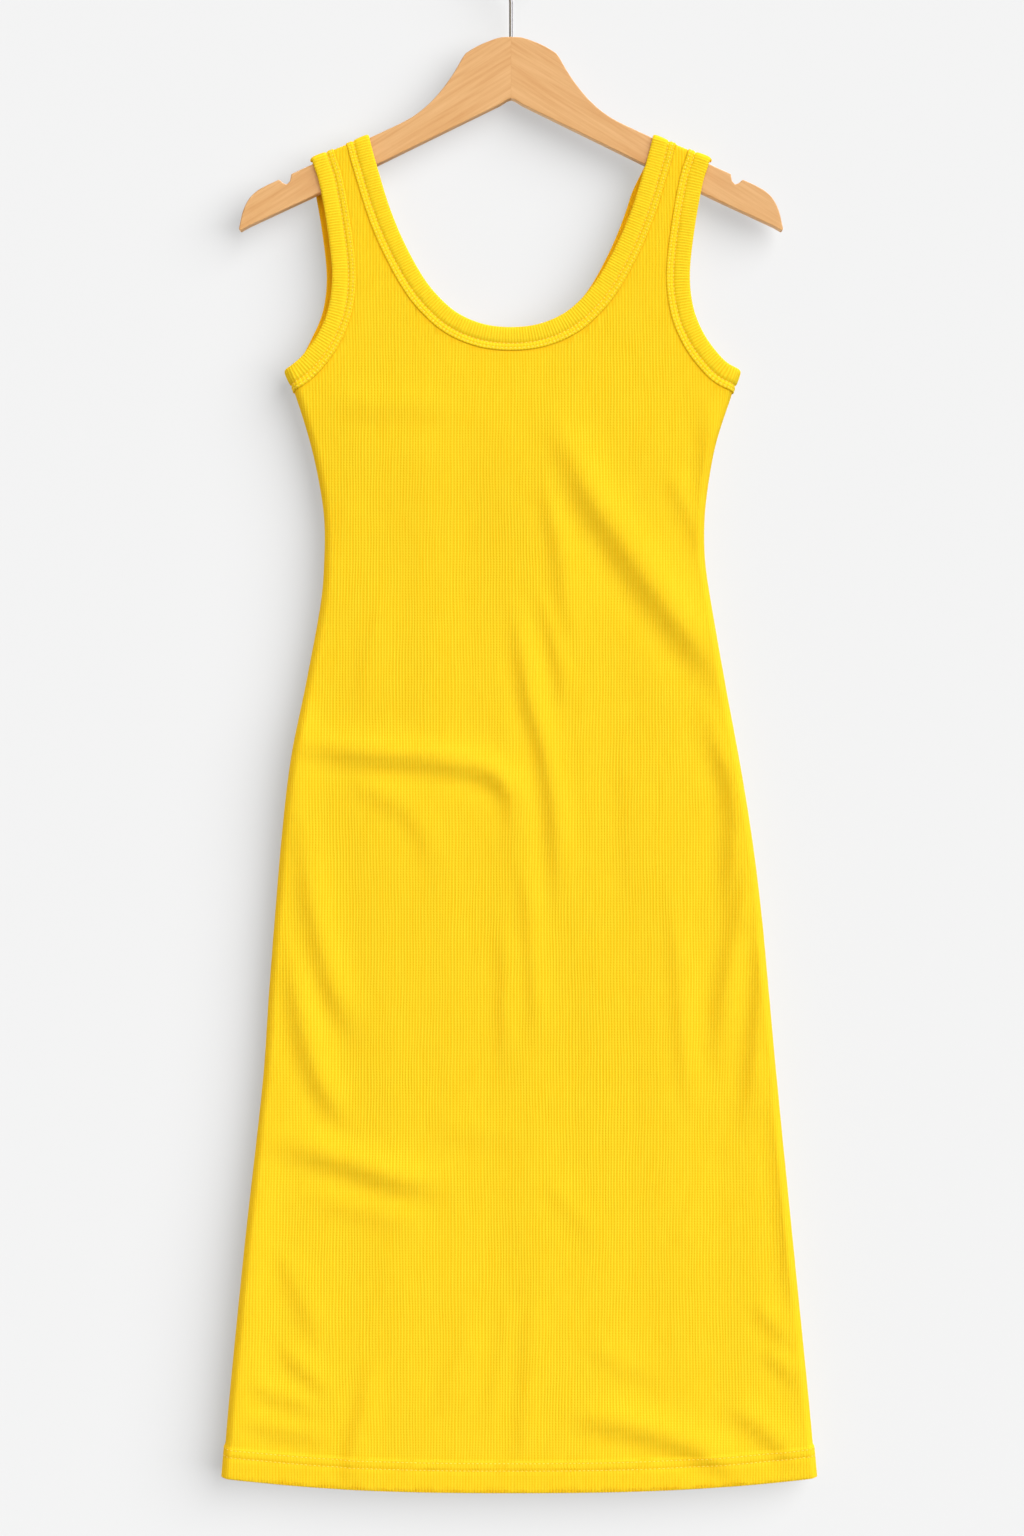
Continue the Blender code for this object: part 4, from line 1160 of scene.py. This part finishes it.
@functools.lru_cache(maxsize=None)
def knit_group():
    """Rib knit: two columns of knitted loops on each rib, painted shade in the valleys and in seams,
    fibres and soft mottling.
    """
    tree, start, end = shader_group(
        "Rib knit", ("Top", "Valley", "Tucked"), ("Loop Pitch", "Valley Share"))
    rib = shader_attribute(tree, "rib")
    place = object_place(tree)
    # Painted shade: the valleys between the ribs take a darker colour
    turn = maths(tree, "MULTIPLY", rib, 2 * math.pi)
    valley_shade = maths(tree, "MULTIPLY_ADD", maths(tree, "COSINE", turn), 0.5, 0.5)
    valley_shade = maths(tree, "POWER", valley_shade, 2.0)
    loop_side = maths(tree, "FRACT", maths(tree, "MULTIPLY", rib, 2.0))
    leg = maths(tree, "ABSOLUTE", maths(tree, "SUBTRACT", loop_side, 0.5))
    course = maths(tree, "DIVIDE", shader_attribute(tree, "course"), start.outputs["Loop Pitch"])
    loop = maths(tree, "SINE", maths(tree, "MULTIPLY", maths(tree, "ADD", course, leg), 2 * math.pi))
    fibres = noise(tree, stretch(tree, place, (1.0, 1.0, 0.45)), 2600.0, 3.0, 0.7)
    patches = noise(tree, place, 42.0, 3.0, 0.6)
    streaks = noise(tree, stretch(tree, place, (1.0, 1.0, 0.12)), 420.0, 2.0, 0.5)

    shade = around_half(tree, patches, 0.25)
    for part, share in ((streaks, 0.55), (fibres, 0.35)):
        shade = maths(tree, "ADD", shade, around_half(tree, part, share))
    shade = maths(tree, "ADD", maths(tree, "MULTIPLY", valley_shade, start.outputs["Valley Share"]), shade)
    colour = blend_colours(tree, between_0_and_1(tree, shade), start.outputs["Top"],
                           start.outputs["Valley"])
    # Painted shade: blend towards the deeper amber colour in seams, grooves and on the inside
    colour = blend_colours(tree, shader_attribute(tree, "tucked"), colour, start.outputs["Tucked"])
    height = maths(tree, "MULTIPLY_ADD", loop, 0.35, maths(tree, "MULTIPLY", fibres, 0.9))
    feed(tree, colour, end.inputs["Color"])
    feed(tree, maths(tree, "MULTIPLY_ADD", fibres, 0.2, 0.68), end.inputs["Roughness"])
    feed(tree, height, end.inputs["Height"])
    return tree


def new_material(name, values):
    """A material, its tree and its Principled shader with the given values."""
    material = bpy.data.materials.new(name)
    material.use_nodes = True
    tree = material.node_tree
    shader = tree.nodes["Principled BSDF"]
    for socket, value in values.items():
        shader.inputs[socket].default_value = value
    return material, tree, shader


def group_material(name, group, inputs, strength, distance, values):
    """A material that takes its colour, roughness and bump from a node group."""
    material, tree, shader = new_material(name, values)
    look = add_node(tree, "ShaderNodeGroup", inputs, node_tree=group)
    bump = add_node(tree, "ShaderNodeBump", {
        "Strength": strength, "Distance": distance, "Height": look.outputs["Height"]})
    feed(tree, look.outputs["Color"], shader.inputs["Base Color"])
    feed(tree, look.outputs["Roughness"], shader.inputs["Roughness"])
    feed(tree, bump.outputs["Normal"], shader.inputs["Normal"])
    return material


def cloth_material(name, top, sizes, valley_shade_share):
    """Matt rib knit with a faint sheen; top colours the ribs' tops."""
    # The valley and tucked colours are painted shade: darker between the ribs, deeper amber in seams and
    # inside
    inputs = {"Top": top, "Valley": sizes.valley_shade_colour, "Tucked": sizes.painted_shade_colour,
              "Loop Pitch": LOOP_PITCH, "Valley Share": valley_shade_share}
    return group_material(name, knit_group(), inputs, 0.5, 0.00022, {
        "Specular IOR Level": 0.06, "Sheen Weight": 0.08, "Sheen Roughness": 0.5,
        "Sheen Tint": SHEEN_TINT})


@functools.lru_cache(maxsize=None)
def thread_material(colour):
    """Twisted sewing thread; the colour is a tuple, so one material serves all the stitches."""
    material, tree, shader = new_material("yellow sewing thread", {})
    twist = noise(tree, object_place(tree), 1800.0)
    dark = (*(channel * THREAD_SHADE for channel in colour[:3]), 1.0)
    feed(tree, blend_colours(tree, twist, dark, colour), shader.inputs["Base Color"])
    feed(tree, maths(tree, "MULTIPLY_ADD", twist, 0.2, 0.42), shader.inputs["Roughness"])
    return material


@functools.lru_cache(maxsize=None)
def grain_group():
    """Beech: fine streaks that run down each arm and meet in a chevron at the middle joint."""
    tree, start, end = shader_group("Beech grain", ("Wood", "Grain"))
    x, y, z = add_node(tree, "ShaderNodeSeparateXYZ", {"Vector": object_place(tree)}).outputs
    from_middle = maths(tree, "ABSOLUTE", x)
    side_step = maths(tree, "MULTIPLY", maths(tree, "SIGN", x), ARM_NOISE_STEP)
    arm = add_node(tree, "ShaderNodeCombineXYZ", {
        "X": from_middle, "Y": maths(tree, "ADD", y, side_step), "Z": z})
    turned = stretch(tree, arm.outputs["Vector"], (1, 1, 1), (0, -math.radians(GRAIN_SLOPE), 0))
    broad = noise(tree, stretch(tree, turned, (0.07, 0.8, 1.0)), 150.0, 3.0, 0.55)
    lines = noise(tree, stretch(tree, turned, (0.04, 0.6, 1.0)), 480.0, 3.0, 0.6)
    flecks = noise(tree, stretch(tree, turned, (0.14, 1.0, 1.0)), 1500.0, 1.0, 0.5)
    fleck = maths(tree, "MULTIPLY", maths(tree, "GREATER_THAN", flecks, FLECKS_FROM), 0.16)
    mask = maths(tree, "MULTIPLY_ADD", maths(tree, "SUBTRACT", broad, 0.5), 1.5, 0.42)
    joint = maths(tree, "LESS_THAN", from_middle, JOINT_HALF_WIDTH)
    for part in (around_half(tree, lines, 2.0), fleck, maths(tree, "MULTIPLY", joint, 0.5)):
        mask = maths(tree, "ADD", mask, part)
    colour = blend_colours(tree, between_0_and_1(tree, mask), start.outputs["Wood"],
                           start.outputs["Grain"])
    feed(tree, colour, end.inputs["Color"])
    feed(tree, maths(tree, "MULTIPLY_ADD", lines, 0.14, 0.36), end.inputs["Roughness"])
    feed(tree, maths(tree, "SUBTRACT", lines, joint), end.inputs["Height"])
    return tree


def wood_material(sizes):
    """Beech under a thin satin lacquer."""
    inputs = {"Wood": sizes.wood_colour, "Grain": sizes.grain_colour}
    return group_material("pale lacquered beech, chevron grain", grain_group(), inputs, 0.25, 0.0002,
                          {"Coat Weight": 0.15, "Coat Roughness": 0.3})


def steel_material():
    """Drawn wire with fine scratches along it."""
    material, tree, shader = new_material("bright drawn steel wire", {"Metallic": 1.0})
    scratches = noise(tree, stretch(tree, object_place(tree), (1.0, 1.0, 0.04)), 2400.0)
    feed(tree, blend_colours(tree, scratches, STEEL_DARK, STEEL_LIGHT), shader.inputs["Base Color"])
    feed(tree, maths(tree, "MULTIPLY_ADD", scratches, 0.12, 0.12), shader.inputs["Roughness"])
    return material


# Stitches

def along_rows(points, outward, pitch):
    """Evenly spaced places along a line, with the run and the outward side at each."""
    travelled = travel(points)
    count = round(polyline_length(points) / pitch)
    wanted = (np.arange(count) + 0.5) / count * travelled[-1]
    places = blend_columns(wanted, travelled, points)
    outs = blend_columns(wanted, travelled, outward)
    return places, unit(np.gradient(places, axis=0)), unit(outs)


def sew(name, rows, sizes):
    """Stitches of thread along rows of (points, outward) lines, as one mesh."""
    laid = [along_rows(points, outward, sizes.stitch_pitch / MM) for points, outward in rows]
    places, runs, outs = (np.vstack(columns) for columns in zip(*laid))
    facts = {"run": runs, "outward": outs}
    seams = mesh_object(name, places + outs * THREAD_LIFT, np.zeros((0, 3), int), facts)
    grow(seams, stitch_tree(), {
        "Length": sizes.stitch_length, "Width": sizes.stitch_width,
        "Unevenness": STITCH_UNEVENNESS, "Seed": STITCH_SEED,
        "Material": thread_material(tuple(sizes.thread_colour))})
    return seams


def hem_rows(face):
    """The hem's two stitch lines on one panel."""
    rows = []
    for height in HEM_STITCH_HEIGHTS:
        down = HEM_CORNER_DROP - height
        ends = [float(side_seam_across(face, side, down)) - side for side in (-1, 1)]
        across = np.arange(ends[0], ends[1], 1.0)
        places = np.column_stack([across, hem_drop(across) - height])
        rows.append((surface(face, places), surface_normal(face, places)))
    return rows


def band_rows(front_edge, back_edge):
    """The stitch lines round a binding."""
    rows = []
    for width in BAND_STITCH_WIDTHS:
        nearest = min(BAND_SECTION, key=lambda point: abs(point.width - width) + (point.height < -1))
        halves = (raised_line(edge, width, nearest.height) for edge in (front_edge, back_edge))
        rows.append([np.vstack([ring, ring[:1]]) for ring in map(closed_run, *halves)])
    return rows


# Hanger

def wood_outline():
    """Front outline of the wood as (x, drop), clockwise from the top middle."""
    head, neck, end = (curve_through(knots, WOOD_CURVE_STEPS)
                       for knots in (WOOD_HEAD_TOP, WOOD_NECK_TOP, WOOD_END))
    right = np.vstack([head, neck, WOOD_NOTCH, end, WOOD_UNDERSIDE])
    left = right[:0:-1] * (-1, 1)
    return np.vstack([right, [(0, WOOD_APEX_DROP)], left])


def make_wood(material):
    """The wood's outline as a flat board with rounded edges."""
    mesh = bmesh.new()
    front = [mesh.verts.new((x * MM, -WOOD_THICKNESS / 2 * MM, (-HOOK_RISE - drop) * MM))
             for x, drop in wood_outline()]
    sweep = bmesh.ops.extrude_face_region(mesh, geom=[mesh.faces.new(front)])
    moved = [item for item in sweep["geom"] if isinstance(item, bmesh.types.BMVert)]
    bmesh.ops.translate(mesh, verts=moved, vec=(0, WOOD_THICKNESS * MM, 0))
    bmesh.ops.recalc_face_normals(mesh, faces=mesh.faces)
    wood = smooth_object("hanger_wood", mesh, material, WOOD_SHARP)
    edges = wood.modifiers.new("rounded edges", "BEVEL")
    edges.width = WOOD_BEVEL * MM
    edges.segments = WOOD_BEVEL_STEPS
    edges.limit_method = "ANGLE"
    edges.angle_limit = math.radians(WOOD_BEVEL_ANGLE)
    edges.harden_normals = True
    bake(wood)
    return wood


def smooth_object(name, mesh, material, sharp_angle):
    """An object from a bmesh, smooth but for its sharp edges."""
    data = bpy.data.meshes.new(name)
    mesh.to_mesh(data)
    mesh.free()
    data.materials.append(material)
    data.shade_smooth()
    data.set_sharp_from_angle(angle=math.radians(sharp_angle))
    return link_object(name, data)


def hook_path():
    """Centre line of the wire: up out of the wood, aside to the left, and round the loop."""
    centre = Vector((0, -(HOOK_RADIUS - WIRE_RADIUS)))
    reach = HOOK_RADIUS + HOOK_BEND_RADIUS
    bend = Vector((-HOOK_BEND_RADIUS, centre.y - math.sqrt(reach**2 - HOOK_BEND_RADIUS**2)))
    to_centre = centre - bend
    bend_end = math.degrees(math.atan2(to_centre.y, to_centre.x))
    path = [Vector((0, -HOOK_RISE - HOOK_SINK)), Vector((0, (bend.y - HOOK_RISE) / 2))]

    def arc(middle, radius, first, last):
        count = math.ceil(abs(last - first) / WIRE_ARC_STEP)
        for k in range(count + 1):
            angle = math.radians(first + (last - first) * k / count)
            path.append(middle + Vector((math.cos(angle), math.sin(angle))) * radius)

    arc(bend, HOOK_BEND_RADIUS, 0, bend_end)
    path.pop()
    arc(centre, HOOK_RADIUS, bend_end + 180, HOOK_TIP_ANGLE)
    return path


def make_hook(material):
    """A round wire swept along the hook's path, with a domed tip."""
    path = hook_path()
    mesh = bmesh.new()
    rings = []

    def add_ring(middle, aside, radius):
        ring = []
        for k in range(WIRE_SIDES):
            angle = 2 * math.pi * k / WIRE_SIDES
            offset = (aside * math.cos(angle) + Vector((0, 1, 0)) * math.sin(angle)) * radius
            ring.append(mesh.verts.new((middle + offset) * MM))
        rings.append(ring)

    for i, place in enumerate(path):
        heading = (path[min(i + 1, len(path) - 1)] - path[max(i - 1, 0)]).normalized()
        aside = Vector((heading.y, 0, -heading.x))
        middle = Vector((place.x, 0, place.y))
        add_ring(middle, aside, WIRE_RADIUS)
    for step in WIRE_TIP_TURNS:
        turn = math.radians(step)
        ahead = Vector((heading.x, 0, heading.y)) * WIRE_RADIUS * math.sin(turn)
        add_ring(middle + ahead, aside, WIRE_RADIUS * math.cos(turn))
    for ring, following in zip(rings, rings[1:]):
        for k in range(WIRE_SIDES):
            after = (k + 1) % WIRE_SIDES
            mesh.faces.new([ring[k], ring[after], following[after], following[k]])
    mesh.faces.new(rings[0])
    mesh.faces.new(rings[-1])
    bmesh.ops.recalc_face_normals(mesh, faces=mesh.faces)
    return smooth_object("hanger_wire", mesh, material, WIRE_SHARP)


# Stage

def stage_material(name, glow, one_sided=False):
    """Matt grey with an even glow for the camera; one that is one-sided is clear from behind."""
    material, tree, shader = new_material(name, {
        "Roughness": 0.9, "Specular IOR Level": 0.1, "Emission Color": STAGE_GLOW_COLOUR})
    darker = (*(channel * STAGE_SHADE for channel in STAGE_GREY[:3]), 1.0)
    tone = noise(tree, object_place(tree), 3.0)
    feed(tree, blend_colours(tree, tone, darker, STAGE_GREY), shader.inputs["Base Color"])
    seen = add_node(tree, "ShaderNodeLightPath").outputs["Is Camera Ray"]
    feed(tree, maths(tree, "MULTIPLY", seen, glow), shader.inputs["Emission Strength"])
    if one_sided:
        clear = add_node(tree, "ShaderNodeBsdfTransparent")
        behind = add_node(tree, "ShaderNodeNewGeometry").outputs["Backfacing"]
        mix = add_node(tree, "ShaderNodeMixShader", {
            "Fac": behind, 1: shader.outputs["BSDF"], 2: clear.outputs["BSDF"]})
        feed(tree, mix.outputs["Shader"], tree.nodes["Material Output"].inputs["Surface"])
    return material


def make_stage_sheet(name, corners, material):
    """A flat sheet of the stage, its corners in metres."""
    mesh = bpy.data.meshes.new(name)
    mesh.from_pydata(corners, [], [(0, 1, 2, 3)])
    mesh.materials.append(material)
    thing = link_object(name, mesh)
    return thing


def link_list(name, things, state):
    """A light's list of things, which state either includes as the only ones or excludes."""
    listed = bpy.data.collections.new(name)
    for thing in things:
        listed.objects.link(thing)
    for entry in listed.collection_objects:
        entry.light_linking.link_state = state
    return listed


def make_light(kind, lit, blocking):
    """A soft studio light, far enough off to be even, that shines along its direction."""
    light = bpy.data.lights.new(kind.name, "SUN")
    light.energy = kind.strength
    light.angle = math.radians(kind.spread)
    light.color = kind.colour
    lamp = link_object(kind.name, light)
    lamp.location = Vector(CAMERA_AIM) - Vector(kind.direction) * LAMP_DISTANCE
    lamp.rotation_euler = Vector(kind.direction).to_track_quat("-Z", "Y").to_euler()
    lamp.light_linking.receiver_collection = lit
    lamp.light_linking.blocker_collection = blocking


def make_world():
    """Faint warm light from all round, behind which the camera sees a plain pale tone."""
    world = bpy.data.worlds.new("studio")
    world.use_nodes = True
    tree = world.node_tree
    seen = add_node(tree, "ShaderNodeLightPath").outputs["Is Camera Ray"]
    colour = blend_colours(tree, seen, WORLD_LIGHT, WORLD_SEEN)
    feed(tree, colour, tree.nodes["Background"].inputs["Color"])
    bpy.context.scene.world = world


def make_camera():
    """A level camera that sees the whole dress as the photo does."""
    camera = bpy.data.cameras.new("camera")
    camera.lens = CAMERA_LENS
    holder = link_object("camera", camera)
    holder.location = Vector(CAMERA_AIM) + Vector((0, -CAMERA_DISTANCE, 0))
    holder.rotation_euler = (math.radians(90), 0, 0)
    bpy.context.scene.camera = holder


# Operators

def panel_measures(outline):
    """Width, length and area of a panel laid flat, its turned-up hem counted in, in metres."""
    width, length = (np.ptp(outline, axis=0) + (0, HEM_HEIGHT)) * MM
    x, y = outline.T
    area = abs(np.dot(x, np.roll(y, -1)) - np.dot(y, np.roll(x, -1))) / 2 * MM**2
    return width, length, area + HEM_HEIGHT * MM * width


def place_piece(piece, node):
    """Fix a piece to the body in place of the solid of a node, which is hidden."""
    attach(piece, "root")
    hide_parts(node)


class DRESS_OT_panels(bpy.types.Operator):
    """Build the front and the back with their raised ribs and stitched hems"""

    bl_idname = "dress.panels"
    bl_label = "Panels"

    def execute(self, context):
        sizes = context.scene.dress_sizes
        pitch = sizes.rib_pitch / MM
        for label, face in (("front", FRONT), ("back", BACK)):
            panel = make_panel(f"ribbed_{label}", face, pitch)
            material = cloth_material(f"yellow rib knit, {label}", sizes.cloth_colour, sizes,
                                      PANEL_VALLEY_SHADE_SHARE)
            grow(panel, rib_tree(), {"Height": sizes.rib_height, "Material": material})
            place_piece(panel, f"{label}_panel")
            seams = sew(f"hem_stitches_{label}", hem_rows(face), sizes)
            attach(seams, "root")
            width, length, area = panel_measures(panel_outline(face, pitch))
        return {"FINISHED"}


class DRESS_OT_bindings(bpy.types.Operator):
    """Build the folded bands that bind the neck and the armholes, with their stitching"""

    bl_idname = "dress.bindings"
    bl_label = "Bindings"

    def execute(self, context):
        sizes = context.scene.dress_sizes
        step = sizes.band_rib_pitch / MM / COLUMNS_PER_RIB
        bands = [("neck", "neck_band", "neck_binding",
                  [neck_edge(face, step, COLUMNS_PER_RIB) for face in (FRONT, BACK)])]
        for label, side in (("left", -1), ("right", 1)):
            bands.append((f"armhole_{label}", f"armhole_band_{label}", f"armhole_binding_{label}",
                          [armhole_edge(face, side, step, COLUMNS_PER_RIB) for face in (FRONT, BACK)]))
        for label, name, node, edges in bands:
            band = make_band(name, *edges)
            material = cloth_material(f"yellow rib band, {label}", sizes.band_colour, sizes,
                                      BAND_VALLEY_SHADE_SHARE)
            grow(band, rib_tree(), {"Height": sizes.band_rib_height, "Material": material})
            place_piece(band, node)
            seams = sew(f"{label}_stitches", band_rows(*edges), sizes)
            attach(seams, "root")
            length = sum(polyline_length(beside(edge, BAND_WIDTH / 2)) for edge in edges)
        return {"FINISHED"}


class DRESS_OT_hanger(bpy.types.Operator):
    """Build the notched wooden hanger and its wire hook"""

    bl_idname = "dress.hanger"
    bl_label = "Hanger"

    def execute(self, context):
        sizes = context.scene.dress_sizes
        place_piece(make_wood(wood_material(sizes)), "hanger_body")
        place_piece(make_hook(steel_material()), "hanger_hook")
        return {"FINISHED"}


class DRESS_OT_stage(bpy.types.Operator):
    """Build the pale wall and floor, the soft studio light and the camera"""

    bl_idname = "dress.stage"
    bl_label = "Stage"

    def execute(self, context):
        reach, low = STAGE_REACH, FLOOR_HEIGHT
        square = ((-1, -1), (1, -1), (1, 1), (-1, 1))
        wall = make_stage_sheet(
            "wall", [(x * reach, WALL_PLACE, WALL_TOP if up > 0 else low) for x, up in square],
            stage_material("pale wall", WALL_GLOW, one_sided=True))
        floor = make_stage_sheet(
            "floor", [(x * reach, y * reach, low) for x, y in square],
            stage_material("pale floor", FLOOR_GLOW))
        hanger = [bpy.data.objects[name] for name in ("hanger_wood", "hanger_wire")]
        lists = {"stage": link_list("the stage", (wall, floor), "INCLUDE"),
                 "pieces": link_list("all but the stage", (wall, floor), "EXCLUDE"),
                 "dress": link_list("all but the stage and the hanger", (wall, floor, *hanger),
                                    "EXCLUDE"),
                 "hanger": link_list("the hanger", hanger, "INCLUDE")}
        for kind in LIGHTS:
            make_light(kind, lists[kind.lit], lists["pieces"])
        make_world()
        context.scene.view_settings.view_transform = "Standard"
        make_camera()
        return {"FINISHED"}


class DRESS_PT_sizes(bpy.types.Panel):
    """The dress's sizes, colours and pieces in the sidebar"""

    bl_idname = "DRESS_PT_sizes"
    bl_label = "Ribbed dress"
    bl_space_type = "VIEW_3D"
    bl_region_type = "UI"
    bl_category = "Dress"

    def draw(self, context):
        sizes = context.scene.dress_sizes
        for name in DressSizes.__annotations__:
            self.layout.prop(sizes, name)
        for operator in OPERATORS:
            self.layout.operator(operator.bl_idname)


OPERATORS = (DRESS_OT_panels, DRESS_OT_bindings, DRESS_OT_hanger, DRESS_OT_stage)


def register():
    for kind in (DressSizes, *OPERATORS, DRESS_PT_sizes):
        bpy.utils.register_class(kind)
    bpy.types.Scene.dress_sizes = bpy.props.PointerProperty(type=DressSizes)


def unregister():
    del bpy.types.Scene.dress_sizes
    for kind in (DRESS_PT_sizes, *reversed(OPERATORS), DressSizes):
        bpy.utils.unregister_class(kind)


def main():
    register()
    bpy.ops.dress.bindings()
    bpy.ops.dress.panels()
    bpy.ops.dress.hanger()
    bpy.ops.dress.stage()


if __name__ == "__main__":
    main()
